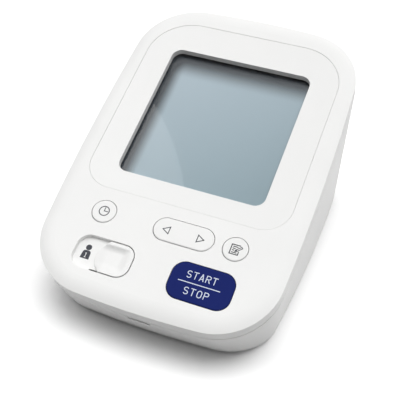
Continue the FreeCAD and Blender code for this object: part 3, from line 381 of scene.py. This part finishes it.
# %% [markdown]
# The signs on the keys are flat outlines. A pattern in the cap's material could draw them too, but
# then the mesh would lack them. So each sign is a filled 2D curve with a small thickness, turned
# into a mesh while it is still flat, in millimetres on the panel. A few helpers draw the outlines
# that it is made of.

# %% Flat outlines
ink_thick = 0.02


def flat_mesh(name, outlines, thick=ink_thick):
    """Mesh of filled outlines in millimetres: an outline inside another one is a hole."""
    curve = bpy.data.curves.new(name, "CURVE")
    curve.dimensions = "2D"
    curve.fill_mode = "BOTH"
    curve.extrude = thick / 2
    for outline in outlines:
        spline = curve.splines.new("POLY")
        spline.points.add(len(outline) - 1)
        for point, (across, up) in zip(spline.points, outline):
            point.co = (across, up, 0, 1)
        spline.use_cyclic_u = True
    maker = bpy.data.objects.new(name, curve)
    bpy.context.scene.collection.objects.link(maker)
    bpy.context.view_layer.update()
    evaluated = maker.evaluated_get(bpy.context.evaluated_depsgraph_get())
    mesh = bpy.data.meshes.new_from_object(evaluated)
    bpy.data.objects.remove(maker)
    mesh.name = name
    return mesh


def circle(across, up, radius, steps=48):
    """Round outline."""
    turns = [2 * math.pi * step / steps for step in range(steps)]
    return [(across + radius * math.cos(turn), up + radius * math.sin(turn)) for turn in turns]


def bar(start, end, width):
    """Straight stroke between two points."""
    run = Vector(end) - Vector(start)
    side = Vector((-run.y, run.x)).normalized() * width / 2
    corners = (Vector(start) - side, Vector(end) - side, Vector(end) + side, Vector(start) + side)
    return [tuple(corner) for corner in corners]


def widened(path, width):
    """Outline of a path that is widened to both sides, with mitred corners."""
    spots = [Vector(spot) for spot in path]
    runs = [(after - before).normalized() for before, after in zip(spots, spots[1:])]
    left, right = [], []
    for spot, before, after in zip(spots, runs[:1] + runs, runs + runs[-1:]):
        way = (before + after).normalized()
        side = Vector((-way.y, way.x)) * width / 2 / way.dot(before)
        left.append(tuple(spot + side))
        right.append(tuple(spot - side))
    return left + right[::-1]


print("printed ink:", ink_thick, "mm thick")

# %% [markdown]
# A flat sign would sink into a dished or sloping cap, or float over it. So every point of the sign
# drops along the panel's own direction until it meets the key, and keeps its height over the key's
# face.

# %% Laying a sign on a face
ray_start = 20
sign_gap = 0.01


def place_piece(mesh, body, finish):
    """Show a mesh that is already in its place, with its finish, and let it ride on a body."""
    mesh.materials.clear()
    mesh.materials.append(finish)
    piece = bpy.data.objects.new(mesh.name, mesh)
    bpy.context.scene.collection.objects.link(piece)
    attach(piece, body)
    return piece


def print_on(mesh, node, body, finish, point_at=panel_point, out=outward):
    """Lay a flat mesh on the face of a node and let it ride on the node's body."""
    solid = nodes[node].data
    corners = [vertex.co for vertex in solid.vertices]
    face = BVHTree.FromPolygons(corners, [polygon.vertices for polygon in solid.polygons])
    lift = max(vertex.co.z for vertex in mesh.vertices) + sign_gap
    for vertex in mesh.vertices:
        across, up, level = vertex.co
        hit = face.ray_cast(point_at(across, up, ray_start), -out)[0]
        vertex.co = hit + out * (level + lift) * mm
    print("printed", mesh.name, "on", node)
    return place_piece(mesh, body, finish)


print("signs lie", sign_gap, "mm over a face")

# %% [markdown]
# The clock sign marks the date and time key: a ring with two hands, one to the right and one
# upwards. The hands meet in one outline, so no two filled shapes lie on each other.

# %% Clock sign
clock_across, clock_up = -28.45, -38.95
ring_outer, ring_inner = 2.3, 1.9
hand_half, right_hand, up_hand = 0.17, 1.7, 1.75
ring = [circle(clock_across, clock_up, radius) for radius in (ring_outer, ring_inner)]
hands = [(-hand_half, -hand_half), (right_hand, -hand_half), (right_hand, hand_half),
         (hand_half, hand_half), (hand_half, up_hand), (-hand_half, up_hand)]
hands = [(clock_across + across, clock_up + up) for across, up in hands]
print_on(flat_mesh("clock_sign", ring + [hands]), "clock_button", "clock", slate_ink)

# %% [markdown]
# The rocker has an open triangle at each end. A triangle of even stroke is a triangle with a
# smaller one, moved in by the stroke on all sides, cut out of it.

# %% Arrow signs
triangle_up, triangle_half, triangle_stroke = -39.25, 1.9, 0.36
back_tip, back_side = -2.5, 0.75
forward_tip, forward_side = 15.65, 12.4


def open_triangle(tip, side):
    """Outer and inner outline of a triangle whose tip points along the panel."""
    way = 1 if tip > side else -1
    length = abs(tip - side)
    sloping = math.hypot(length, triangle_half)
    inner_tip = tip - way * triangle_stroke * sloping / triangle_half
    inner_side = side + way * triangle_stroke
    inner_half = triangle_half * abs(inner_tip - inner_side) / length
    outlines = []
    for point, base, half in ((tip, side, triangle_half), (inner_tip, inner_side, inner_half)):
        outlines.append([(point, triangle_up), (base, triangle_up + half), (base, triangle_up - half)])
    return outlines


triangles = open_triangle(back_tip, back_side) + open_triangle(forward_tip, forward_side)
print_on(flat_mesh("arrow_signs", triangles), "arrow_rocker", "rocker", slate_ink)

# %% [markdown]
# The memory key shows a page with lines of writing and a pencil over its corner. The page's edge is
# a path that stops where the pencil crosses it. The pencil is drawn along its own axis, from its
# tip, and then turned into its place.

# %% Memory sign
page_stroke, line_stroke, line_left = 0.42, 0.4, 27.2
page = [(30.2, -37.25), (26.6, -37.25), (26.6, -41.35), (30.0, -41.35), (30.0, -39.8)]
line_ends = [(29.35, -38.05), (28.45, -38.85), (28.1, -39.65), (29.4, -40.6)]
lines = [bar((line_left, up), (across, up), line_stroke) for across, up in line_ends]
pencil_tip = Vector((28.25, -40.3))
pencil_way, pencil_side = Vector((0.73, 0.68)), Vector((-0.68, 0.73))
wood = [(0, 0), (0.95, -0.52), (3.75, -0.52), (3.75, 0.52), (0.95, 0.52)]
hollow = [(1.3, -0.2), (3.4, -0.2), (3.4, 0.2), (1.3, 0.2)]
pencil = []
for outline in (wood, hollow):
    pencil.append([tuple(pencil_tip + pencil_way * along + pencil_side * off) for along, off in outline])
memory_sign = flat_mesh("memory_sign", [widened(page, page_stroke)] + lines + pencil)
print_on(memory_sign, "memo_button", "memo", slate_ink)

# %% [markdown]
# The start key carries the two words of its use, with a line between them. Such lettering is drawn
# with one even stroke, so each letter here is an outline or a widened path in a box of its own:
# narrow, with straight stems and half-round bowls. Where strokes of a letter meet, a hair of space
# is left, so that no two filled shapes lie on each other.

# %% Letters
letter_high, letter_wide, pen, hair = 3.1, 2.0, 0.34, 0.01
middle, stem, slanted = letter_wide / 2, pen / 2, 1.15 * pen
opening = 25


def arc(across, up, wide, high, start, end, steps=14):
    """Points of an elliptical arc between two angles in degrees."""
    turns = [math.radians(start + (end - start) * step / steps) for step in range(steps + 1)]
    return [(across + wide * math.cos(turn), up + high * math.sin(turn)) for turn in turns]


def letter_s():
    """Two bowls, open to opposite sides, as one path."""
    wide, high = middle - stem, (letter_high - pen) / 4
    upper = arc(middle, letter_high - stem - high, wide, high, opening, 270)
    lower = arc(middle, stem + high, wide, high, 90, opening - 180)
    return [widened(upper + lower[1:], pen)]


def letter_t():
    """Beam and stem in one outline."""
    under, left, right = letter_high - pen, middle - stem, middle + stem
    return [[(0, under), (left, under), (left, 0), (right, 0), (right, under), (letter_wide, under),
             (letter_wide, letter_high), (0, letter_high)]]


def letter_a():
    """Two legs with a bar, and the opening over the bar."""
    peak, low = 0.55 * pen, 0.72
    high = low + 0.9 * pen
    lean = (middle - peak) / letter_high
    low_in, high_in = slanted + low * lean, slanted + high * lean
    outer = [(0, 0), (slanted, 0), (low_in, low), (letter_wide - low_in, low),
             (letter_wide - slanted, 0), (letter_wide, 0),
             (middle + peak, letter_high), (middle - peak, letter_high)]
    inner = [(high_in, high), (letter_wide - high_in, high), (middle, (middle - slanted) / lean)]
    return [outer, inner]


def letter_p():
    """Stem and bowl in one path, which ends just short of the stem."""
    top, bowl = letter_high - stem, (letter_high - pen) / 4
    right = arc(letter_wide - stem - bowl, top - bowl, bowl, bowl, 90, -90)
    return [widened([(stem, 0), (stem, top)] + right + [(pen + hair, top - 2 * bowl)], pen)]


def letter_r():
    """The letter P with a leg."""
    leg_left, under = 0.9, letter_high / 2 - stem - hair
    leg = [(leg_left, under), (letter_wide - slanted, 0), (letter_wide, 0), (leg_left + slanted, under)]
    return letter_p() + [leg]


def letter_o():
    """Outer and inner outline with half-round ends."""
    rings = []
    for radius in (middle, middle - pen):
        upper = arc(middle, letter_high - middle, radius, radius, 0, 180)
        rings.append(upper + arc(middle, middle, radius, radius, 180, 360))
    return rings


letters = {"S": letter_s(), "T": letter_t(), "A": letter_a(),
           "R": letter_r(), "O": letter_o(), "P": letter_p()}
print("letters:", len(letters))

# %% [markdown]
# The words are set letter by letter, with equal spaces that fill the width of the print.

# %% Start and stop words
rule_left, rule_right, rule_up, rule_stroke = 11.75, 29.0, -57.85, 0.36


def word_outlines(word, left, right, low):
    """Outlines of a word between two edges, standing on a line of the panel."""
    step = (right - left - letter_wide) / (len(word) - 1)
    outlines = []
    for place, letter in enumerate(word):
        for outline in letters[letter]:
            outlines.append([(left + place * step + across, low + up) for across, up in outline])
    return outlines


start_prints = {
    "start_word": word_outlines("START", left=14.25, right=26.7, low=-56.03),
    "stop_word": word_outlines("STOP", left=15.4, right=25.6, low=-62.8),
    "start_rule": [bar((rule_left, rule_up), (rule_right, rule_up), rule_stroke)],
}
for name, outlines in start_prints.items():
    print_on(flat_mesh(name, outlines), "start_button", "start", pale_ink)

# %% [markdown]
# A figure with the number 1 lies on the floor of the slide's tray: the slide uncovers the user who
# is chosen. The number is left open in the ink, so the white plastic shows through.

# %% User sign
figure_across = -28.5
head_up, head_radius = -55.1, 1.25
head = circle(figure_across, head_up, head_radius)
shoulder = [(0.75, -56.45), (1.25, -56.6), (1.6, -57.0), (1.75, -57.6), (1.95, -60.2)]
body = shoulder + [(-across, up) for across, up in reversed(shoulder)]
number = [(-0.4, -59.6), (0.4, -59.6), (0.4, -59.35), (0.14, -59.35), (0.14, -57.5), (-0.1, -57.5),
          (-0.45, -57.75), (-0.45, -58.0), (-0.14, -57.85), (-0.14, -59.35), (-0.4, -59.35)]
figure = [head]
for outline in (body, number):
    figure.append([(figure_across + across, up) for across, up in outline])
print_on(flat_mesh("user_sign", figure), "upper_case", "housing", slate_ink)

# %% [markdown]
# Four screws hold the case from below, at the bottom of deep holes, and five more hold the board.
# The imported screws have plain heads, while real ones have a cross recess for the driver. The recess
# could be cut into each head by hand. Because it is the same cut at every screw, Geometry Nodes do
# it: a unit cross is set on the middle of each head, scaled to the recess, and taken out of the
# screws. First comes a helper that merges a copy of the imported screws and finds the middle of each
# head. It walks along the edges of one screw after the other, always in the same order, so that
# every run gives the same mesh.

# %% Screw heads
same_point, same_level = 0.001, 0.01


def merged_copy(node, facing):
    """Closed copy of a node's loose triangles, and the middle of each solid's end on the facing side."""
    solid = bmesh.new()
    solid.from_mesh(nodes[node].data)
    bmesh.ops.remove_doubles(solid, verts=solid.verts, dist=same_point * mm)
    middles = []
    waiting = dict.fromkeys(solid.verts)
    while waiting:
        island = [waiting.popitem()[0]]
        for vertex in island:
            for edge in vertex.link_edges:
                other = edge.other_vert(vertex)
                if other in waiting:
                    waiting.pop(other)
                    island.append(other)
        end = max(vertex.co.dot(facing) for vertex in island)
        rim = [vertex.co for vertex in island if vertex.co.dot(facing) > end - same_level * mm]
        middles.append(sum(rim, Vector()) / len(rim))
    mesh = bpy.data.meshes.new(node + "_merged")
    solid.to_mesh(mesh)
    solid.free()
    return mesh, middles


downward = Vector((0, 0, -1))
screw_heads = {"case_screws": downward, "board_screws": -outward}
print("screw heads face", [[round(value, 2) for value in facing] for facing in screw_heads.values()])

# %% [markdown]
# The cross narrows towards its floor, as a driver's tip does. It is drawn for a recess that is one
# unit wide and deep, and stands a little over the head, so that the cut leaves no skin there.

# %% Unit cross
floor_level, mouth_level = -1.0, 0.1


def cross_outline(reach, half):
    """Twelve corners of a cross with arms of the given reach and half thickness."""
    quarter = [(half, reach), (-half, reach), (-half, half)]
    corners = []
    for turn in range(4):
        for across, up in quarter:
            corners.append(((across, up), (-up, across), (-across, -up), (up, -across))[turn])
    return corners


cross_floor = [(x, y, floor_level) for x, y in cross_outline(reach=0.28, half=0.09)]
cross_mouth = [(x, y, mouth_level) for x, y in cross_outline(reach=0.52, half=0.15)]
count = len(cross_floor)
sides = []
for start in range(count):
    after = (start + 1) % count
    sides.append((start, after, after + count, start + count))
caps = [tuple(reversed(range(count))), tuple(range(count, 2 * count))]
cross_mesh = bpy.data.meshes.new("unit_cross")
cross_mesh.from_pydata(cross_floor + cross_mouth, [], sides + caps)
unit_cross = bpy.data.objects.new("unit_cross", cross_mesh)
print("unit cross:", len(cross_mesh.polygons), "faces")

# %% [markdown]
# Two helpers start and end a tree. It starts with named inputs, so that its sizes can be set from
# outside, and ends by making its instances real and setting the finish, because only real geometry
# is kept. A third one runs a tree: it sets the inputs by their identifiers before the object is
# first evaluated, takes the result as a plain mesh, and removes the maker with its modifier. The
# last one holds points for a tree to read.

# %% Helpers for node trees
def new_tree(name, inputs):
    """Geometry node tree with named inputs of the given kinds, and the sockets that bring them."""
    tree = bpy.data.node_groups.new(name, "GeometryNodeTree")
    for socket, kind in inputs.items():
        tree.interface.new_socket(socket, in_out="INPUT", socket_type="NodeSocket" + kind)
    tree.interface.new_socket("Geometry", in_out="OUTPUT", socket_type="NodeSocketGeometry")
    return tree, add(tree, "NodeGroupInput").outputs


def end_tree(tree, geometry, finish):
    """Make the geometry real, set its finish and give it out."""
    real = add(tree, "GeometryNodeRealizeInstances", {"Geometry": geometry})
    done = add(tree, "GeometryNodeSetMaterial", {
        "Geometry": real.outputs["Geometry"], "Material": finish})
    add(tree, "NodeGroupOutput", {"Geometry": done.outputs["Geometry"]})


def grown(name, mesh, tree, values):
    """Plain mesh that a node tree makes from a mesh and named values."""
    maker = bpy.data.objects.new(name, mesh)
    modifier = maker.modifiers.new("maker", "NODES")
    modifier.node_group = tree
    for item in tree.interface.items_tree:
        if item.in_out == "INPUT" and item.name in values:
            modifier[item.identifier] = values[item.name]
    bpy.context.scene.collection.objects.link(maker)
    bpy.context.view_layer.update()
    evaluated = maker.evaluated_get(bpy.context.evaluated_depsgraph_get())
    result = bpy.data.meshes.new_from_object(evaluated)
    bpy.data.objects.remove(maker)
    result.name = name
    return result


def points_object(name, spots):
    """Object that only holds points, for a tree to read."""
    mesh = bpy.data.meshes.new(name)
    mesh.from_pydata([tuple(spot) for spot in spots], [], [])
    return bpy.data.objects.new(name, mesh)


print("tree helpers ready")

# %% [markdown]
# The tree that cuts a recess takes the cutter, its places, its turn and its size, so it serves both
# kinds of screw and, later, the slide.

# %% Recess tree
recess_tree, given = new_tree("cut recess", {
    "Solid": "Geometry", "Places": "Object", "Cutter": "Object", "Turn": "Vector", "Width": "Float",
    "Depth": "Float", "Finish": "Material"})
places = add(recess_tree, "GeometryNodeObjectInfo", {"Object": given["Places"]})
shape = add(recess_tree, "GeometryNodeObjectInfo", {"Object": given["Cutter"]})
size = add(recess_tree, "ShaderNodeCombineXYZ", {
    "X": given["Width"], "Y": given["Width"], "Z": given["Depth"]})
copies = add(recess_tree, "GeometryNodeInstanceOnPoints", {
    "Points": places.outputs["Geometry"], "Instance": shape.outputs["Geometry"],
    "Rotation": given["Turn"], "Scale": size.outputs["Vector"]})
cutters = add(recess_tree, "GeometryNodeRealizeInstances", {"Geometry": copies.outputs["Instances"]})
cut = add(recess_tree, "GeometryNodeMeshBoolean", {
    "Mesh 1": given["Solid"], "Mesh 2": cutters.outputs["Geometry"]},
    operation="DIFFERENCE", solver="EXACT")
end_tree(recess_tree, cut.outputs["Mesh"], given["Finish"])
print("recess tree:", len(recess_tree.nodes), "nodes")

# %% [markdown]
# Each kind of screw now gets its recess, with a width and a depth that suit its head. The recessed
# screws take the place of the plain ones.

# %% Recessed screws
recess_sizes = {"case_screws": (3.4, 1.3), "board_screws": (2.8, 1.0)}
for node, (width, depth) in recess_sizes.items():
    facing = screw_heads[node]
    screws, middles = merged_copy(node, facing)
    mesh = grown(node + "_recessed", screws, recess_tree, {
        "Places": points_object(node + "_heads", middles), "Cutter": unit_cross,
        "Turn": tuple(facing.to_track_quat("Z", "Y").to_euler()),
        "Width": width * mm, "Depth": depth * mm, "Finish": steel})
    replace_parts(place_piece(mesh, "housing", steel), node)
    print(node, "heads:", len(middles), "faces:", len(mesh.polygons))

# %% [markdown]
# The user slide has a scoop for a fingertip: deep under its rear rim, rising towards the front, and
# running out over a low left end, with a rounded rear edge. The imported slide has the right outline
# and a plainer hollow, so the scoop is cut into a copy of it. Its face is a formula, in millimetres
# from the slide's middle: a rim, less a hollow that grows with the distance from the rear, right
# and front edges, blended into the low left end, less the rounding.

# %% Face of the user slide
slide_across, slide_up = -14.2, -57.6
slide_half_width, slide_half_length, slide_corner = 5.8, 7.0, 5.0
rim_level, left_level = 0.28, -1.95
scoop_depth, scoop_tilt = 1.3, 0.03
rear_land, rear_wall = 1.75, 2.5
right_land, right_wall = 0.9, 4.8
front_land, front_wall = 0.3, 4.6
left_start, left_length = -5.0, 5.4
edge_drop, edge_reach, edge_fade = 0.75, 0.95, 4.0


def held(share):
    """Share, held between 0 and 1."""
    return min(max(share, 0.0), 1.0)


def eased(share):
    """Share from 0 to 1 with a soft start and end."""
    return held(share) ** 2 * (3 - 2 * held(share))


def slide_face(across, up):
    """Height of the slide's face over the panel."""
    beside = across - slide_half_width + slide_corner
    beyond = abs(up) - slide_half_length + slide_corner
    inset = slide_corner - math.hypot(max(beside, 0), max(beyond, 0)) - min(max(beside, beyond), 0)
    rear_share = held((slide_half_length - up - rear_land) / rear_wall)
    right_share = (slide_half_width - across - right_land) / right_wall
    front_share = (slide_half_length + up - front_land) / front_wall
    hollow = rear_share * (2 - rear_share) * eased(right_share) * eased(front_share)
    level = rim_level - (scoop_depth + scoop_tilt * up) * hollow
    level += (left_level - level) * eased((left_start - across) / left_length)
    rounding = edge_drop * (1 - held(inset / edge_reach)) ** 2
    return level - rounding * eased(1 + (up - slide_half_length) / edge_fade)


print("slide face at its middle (mm):", round(slide_face(0, 0), 2))

# %% [markdown]
# The cutter is a block whose underside is that face, as a fine grid. Its lines keep off the slide's
# own edges, because a cut along an edge leaves slivers. The sides and the top close it.

# %% Cutter of the scoop
grid_step, grid_columns, grid_rows = 0.2, 89, 79
grid_left, grid_front = -11.07, -7.87
block_top = 3.0
grid = [(grid_left + grid_step * column, grid_front + grid_step * row)
        for row in range(grid_rows) for column in range(grid_columns)]
levels = [slide_face(across, up) for across, up in grid]
faces = []
for row in range(grid_rows - 1):
    for start in range(row * grid_columns, (row + 1) * grid_columns - 1):
        faces.append((start, start + 1, start + grid_columns + 1, start + grid_columns))
starts = range(0, len(grid), grid_columns)
front = list(range(grid_columns))
right = [start + grid_columns - 1 for start in starts]
rear = [starts[-1] + column for column in reversed(front)]
left = list(reversed(starts))
edges = (front, right, rear, left)
tops = range(len(grid), len(grid) + len(edges))
for corner, side in enumerate(edges):
    faces.append((*side, tops[(corner + 1) % len(tops)], tops[corner]))
    grid.append(grid[side[0]])
    levels.append(block_top)
faces.append(tuple(tops))
spots = []
for (across, up), level in zip(grid, levels):
    spots.append(panel_point(slide_across + across, slide_up + up, level))
scoop = bpy.data.meshes.new("slide_scoop")
scoop.from_pydata(spots, [], faces)
outside = bmesh.new()
outside.from_mesh(scoop)
bmesh.ops.recalc_face_normals(outside, faces=outside.faces)
outside.to_mesh(scoop)
outside.free()
print("scoop cutter:", len(scoop.polygons), "faces")

# %% [markdown]
# The recess tree takes the block out of the slide. The block already lies in its place, so its one
# point is the origin and its scale is 1. Only the faces that look out of the panel are shaded
# smooth: smooth side walls would take the face's shade along its edges.

# %% Scooped user slide
facing_out = 0.5
slide = grown("user_knob_scooped", merged_copy("user_knob", outward)[0], recess_tree, {
    "Places": points_object("slide_place", [(0, 0, 0)]),
    "Cutter": bpy.data.objects.new("slide_scoop", scoop),
    "Turn": (0, 0, 0), "Width": 1.0, "Depth": 1.0, "Finish": key_plastic})
for polygon in slide.polygons:
    polygon.use_smooth = polygon.normal.dot(outward) > facing_out
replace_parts(place_piece(slide, "selector", key_plastic), "user_knob")
print("user slide:", len(slide.polygons), "faces")

# %% [markdown]
# Under the battery cover lie four cells, each the other way round from its neighbour. Their sleeves
# carry a plus or a minus near each end, which is seen only when the cover is open. The marks repeat
# and follow round sleeves, so a second tree sets them on points under the cells, divides them
# finely enough to bend, and then lets every point of the flat marks rise straight up until it meets
# a sleeve. The tree makes all its geometry, so its first input, the maker's own mesh, stays unused.

# %% Cell marks tree
ray_length = 50
marks_tree, given = new_tree("cell marks", {
    "Unused": "Geometry", "Plus": "Object", "Minus": "Object", "Plus Places": "Object",
    "Minus Places": "Object", "Cells": "Object", "Lift": "Float", "Finish": "Material"})
flat_marks = add(marks_tree, "GeometryNodeJoinGeometry")
for sign in ("Plus", "Minus"):
    places = add(marks_tree, "GeometryNodeObjectInfo", {"Object": given[sign + " Places"]})
    mark = add(marks_tree, "GeometryNodeObjectInfo", {"Object": given[sign]})
    copies = add(marks_tree, "GeometryNodeInstanceOnPoints", {
        "Points": places.outputs["Geometry"], "Instance": mark.outputs["Geometry"]})
    feed(flat_marks, {"Geometry": copies.outputs["Instances"]})
real = add(marks_tree, "GeometryNodeRealizeInstances", {"Geometry": flat_marks.outputs["Geometry"]})
fine = add(marks_tree, "GeometryNodeSubdivideMesh", {"Mesh": real.outputs["Geometry"], "Level": 2})
cells = add(marks_tree, "GeometryNodeObjectInfo", {"Object": given["Cells"]})
spot = add(marks_tree, "GeometryNodeInputPosition")
flat = add(marks_tree, "ShaderNodeSeparateXYZ", {"Vector": spot.outputs["Position"]})
under = add(marks_tree, "ShaderNodeCombineXYZ", {"X": flat.outputs["X"], "Y": flat.outputs["Y"]})
meeting = add(marks_tree, "GeometryNodeRaycast", {
    "Target Geometry": cells.outputs["Geometry"], "Source Position": under.outputs["Vector"],
    "Ray Direction": (0, 0, 1), "Ray Length": ray_length * mm})
level = add(marks_tree, "ShaderNodeMath", {
    0: flat.outputs["Z"], 1: given["Lift"]}, operation="SUBTRACT")
level = add(marks_tree, "ShaderNodeCombineXYZ", {"Z": level.outputs[0]})
met = add(marks_tree, "ShaderNodeVectorMath", {
    0: meeting.outputs["Hit Position"], 1: level.outputs["Vector"]}, operation="ADD")
risen = add(marks_tree, "GeometryNodeSetPosition", {
    "Geometry": fine.outputs["Mesh"], "Position": met.outputs["Vector"]})
end_tree(marks_tree, risen.outputs["Geometry"], given["Finish"])
print("cell marks tree:", len(marks_tree.nodes), "nodes")

# %% [markdown]
# The places come from the cells' own box: four columns, with the plus at the rear of the first cell
# and at the front of the next. A plus is one outline of twelve corners, which the cross of the
# screws already has.

# %% Plus and minus marks
cell_count = 4
mark_reach, mark_half, mark_inset, mark_lift = 2.0, 0.45, 6.5, 0.02
cell_diameter = cells_high.z - cells_low.z
pitch = (cells_high.x - cells_low.x - cell_diameter) / (cell_count - 1)
columns = [cells_low.x + cell_diameter / 2 + pitch * column for column in range(cell_count)]
rows = (cells_high.y - mark_inset * mm, cells_low.y + mark_inset * mm)
plus_places = [(x, rows[column % 2], 0) for column, x in enumerate(columns)]
minus_places = [(x, rows[1 - column % 2], 0) for column, x in enumerate(columns)]
plus_mesh = flat_mesh("plus_mark", [cross_outline(mark_reach, mark_half)])
minus_mesh = flat_mesh("minus_mark", [bar((-mark_reach, 0), (mark_reach, 0), 2 * mark_half)])
for mesh in (plus_mesh, minus_mesh):
    mesh.transform(Matrix.Scale(mm, 4))
marks = grown("cell_marks", bpy.data.meshes.new("no_marks"), marks_tree, {
    "Plus": bpy.data.objects.new("plus_mark", plus_mesh),
    "Minus": bpy.data.objects.new("minus_mark", minus_mesh),
    "Plus Places": points_object("plus_places", plus_places),
    "Minus Places": points_object("minus_places", minus_places),
    "Cells": nodes["battery_cells"], "Lift": mark_lift * mm, "Finish": pale_ink})
place_piece(marks, "housing", pale_ink)
print("cell marks:", len(plus_places) + len(minus_places), "marks,", len(marks.polygons), "faces")

# %% [markdown]
# A raised arrow on the battery cover shows which way its latch is pushed. It is moulded with the
# cover, so it has the cover's finish and a height of 0.3 mm. The same helper lays it on the cover
# from below: there the panel's directions are replaced by the underside's, seen from under the
# monitor.

# %% Arrow on the battery cover
arrow_thick, arrow_inset = 0.3, 15
arrow_reach, barb_across, barb_up, shaft_half = 4.0, 4.2, 0.6, 1.5


def underside_point(across, up, out):
    """Point in the frame from millimetres on the underside, seen from below with the rear up."""
    return Vector((-across, up, -out)) * mm


cover_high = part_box("battery_cover")[1]
arrow_up = cover_high.y / mm - arrow_inset
half_arrow = [(barb_across, barb_up), (shaft_half, barb_up), (shaft_half, arrow_reach)]
arrow = [(0, -arrow_reach)] + half_arrow + [(-across, up) for across, up in reversed(half_arrow)]
arrow = [(across, arrow_up + up) for across, up in arrow]
print_on(flat_mesh("cover_arrow", [arrow], arrow_thick), "battery_cover", "cover", case_plastic,
         underside_point, downward)

# %% [markdown]
# The world is white for the camera, for gloss and through glass, and gives no light to matt
# surfaces: a path that has met one sees it black. So the lamps alone light matt surfaces, and the
# background stays plain white.

# %% World
scene = bpy.context.scene
scene.view_settings.view_transform = "Standard"
world = bpy.data.worlds.new("studio surround")
scene.world = world
world.use_nodes = True
tree = world.node_tree
rays = add(tree, "ShaderNodeLightPath").outputs
seen = add(tree, "ShaderNodeMath", {
    0: rays["Is Camera Ray"], 1: rays["Is Glossy Ray"]}, operation="MAXIMUM")
seen = add(tree, "ShaderNodeMath", {
    0: seen.outputs[0], 1: rays["Is Transmission Ray"]}, operation="MAXIMUM")
direct = add(tree, "ShaderNodeMath", {0: rays["Diffuse Depth"], 1: 0.5}, operation="LESS_THAN")
seen = add(tree, "ShaderNodeMath", {0: seen.outputs[0], 1: direct.outputs[0]}, operation="MULTIPLY")
feed(tree.nodes["Background"], {"Color": white, "Strength": seen.outputs[0]})
print("world:", world.name)

# %% [markdown]
# The picture's light is soft and comes from nearly straight above, so the shadow lies under the
# wall that leans inwards and keeps close to the foot. A softbox at the rear right and three white
# boards, two at the left and one at the front right, fill the walls. Sun lamps with a wide angle
# give such light without a fall-off. The last lamp is seen only in gloss: it is the pale arc that
# the window reflects. Shadow rays already pass the window, so no lamp is seen through it again.

# %% Lamps
def sun(name, towards, strength, spread, matt=True, gloss=False):
    """Sun lamp for matt or glossy paths, whose spread in degrees softens its shadows."""
    lamp = bpy.data.lights.new(name, "SUN")
    lamp.energy = strength
    lamp.angle = math.radians(spread)
    holder = bpy.data.objects.new(name, lamp)
    holder.rotation_euler = Vector(towards).to_track_quat("Z", "Y").to_euler()
    holder.visible_diffuse = matt
    holder.visible_glossy = gloss
    holder.visible_transmission = False
    scene.collection.objects.link(holder)


sun("overhead softbox", (0.12, -0.12, 0.97), strength=1.9, spread=33)
sun("rear right softbox", (0.6, 0.6, 0.52), strength=1.0, spread=60)
sun("upper left board", (-0.55, 0.0, 0.83), strength=0.8, spread=60)
sun("lower left board", (-0.9, 0.0, 0.43), strength=0.32, spread=60)
sun("front right board", (0.7, -0.55, 0.45), strength=0.45, spread=60)
sun("reflected card", (-0.51, -0.04, 0.86), strength=0.3, spread=29.4, matt=False, gloss=True)
print("lamps:", len(bpy.data.lights))

# %% [markdown]
# The floor is a plain white sheet, large enough to fill the picture. It keeps the monitor's shadow.
# Where it is seen, it is a little brighter than white, so that only the deep part of the shadow is
# left. It is greyer for the light that it throws back, so that the walls stay grey.

# %% Floor
floor_gain, floor_half, fibre_mm = 1.1, 3, 2
paper, tree, shader, place = new_finish("white paper roll")
tint = mottled(tree, place, fibre_mm, "#FFFFFF", "#FDFDFD")
bright = add(tree, "ShaderNodeVectorMath", {0: tint, "Scale": floor_gain}, operation="SCALE")
rays = add(tree, "ShaderNodeLightPath").outputs
thrown = blend(tree, rays["Is Diffuse Ray"], bright.outputs["Vector"], colour("#B9B9B9"))
feed(shader, {"Base Color": thrown, "Roughness": 0.9, "Specular IOR Level": 0.0})
corners = [(-floor_half, -floor_half, 0), (floor_half, -floor_half, 0),
           (floor_half, floor_half, 0), (-floor_half, floor_half, 0)]
floor_mesh = bpy.data.meshes.new("floor")
floor_mesh.from_pydata(corners, [], [(0, 1, 2, 3)])
floor_mesh.materials.append(paper)
floor = bpy.data.objects.new("floor", floor_mesh)
scene.collection.objects.link(floor)
print("floor:", 2 * floor_half, "m square")

# %% [markdown]
# The camera was worked out from the outline of the panel in the picture: it looks down from the
# front right with a lens of about 71 mm on a 36 mm sensor. Its axes come from that work to four
# places, so they are squared up again here.

# %% Camera
camera_place = Vector((94.2, -264.32, 242.51)) * mm
camera_back = Vector((0.2730, -0.7422, 0.6120)).normalized()
camera_up = camera_back.cross(Vector((0.9275, 0.3720, 0.0373)).normalized()).normalized()
camera_right = camera_up.cross(camera_back)
camera = bpy.data.cameras.new("camera")
camera.lens = 70.875
camera.sensor_width = 36
camera.clip_start = 0.01
stand = bpy.data.objects.new("camera", camera)
turn = Matrix((camera_right, camera_up, camera_back)).transposed().to_4x4()
stand.matrix_world = Matrix.Translation(camera_place) @ turn
scene.collection.objects.link(stand)
scene.camera = stand
print("camera distance (m):", round(camera_place.length, 3))
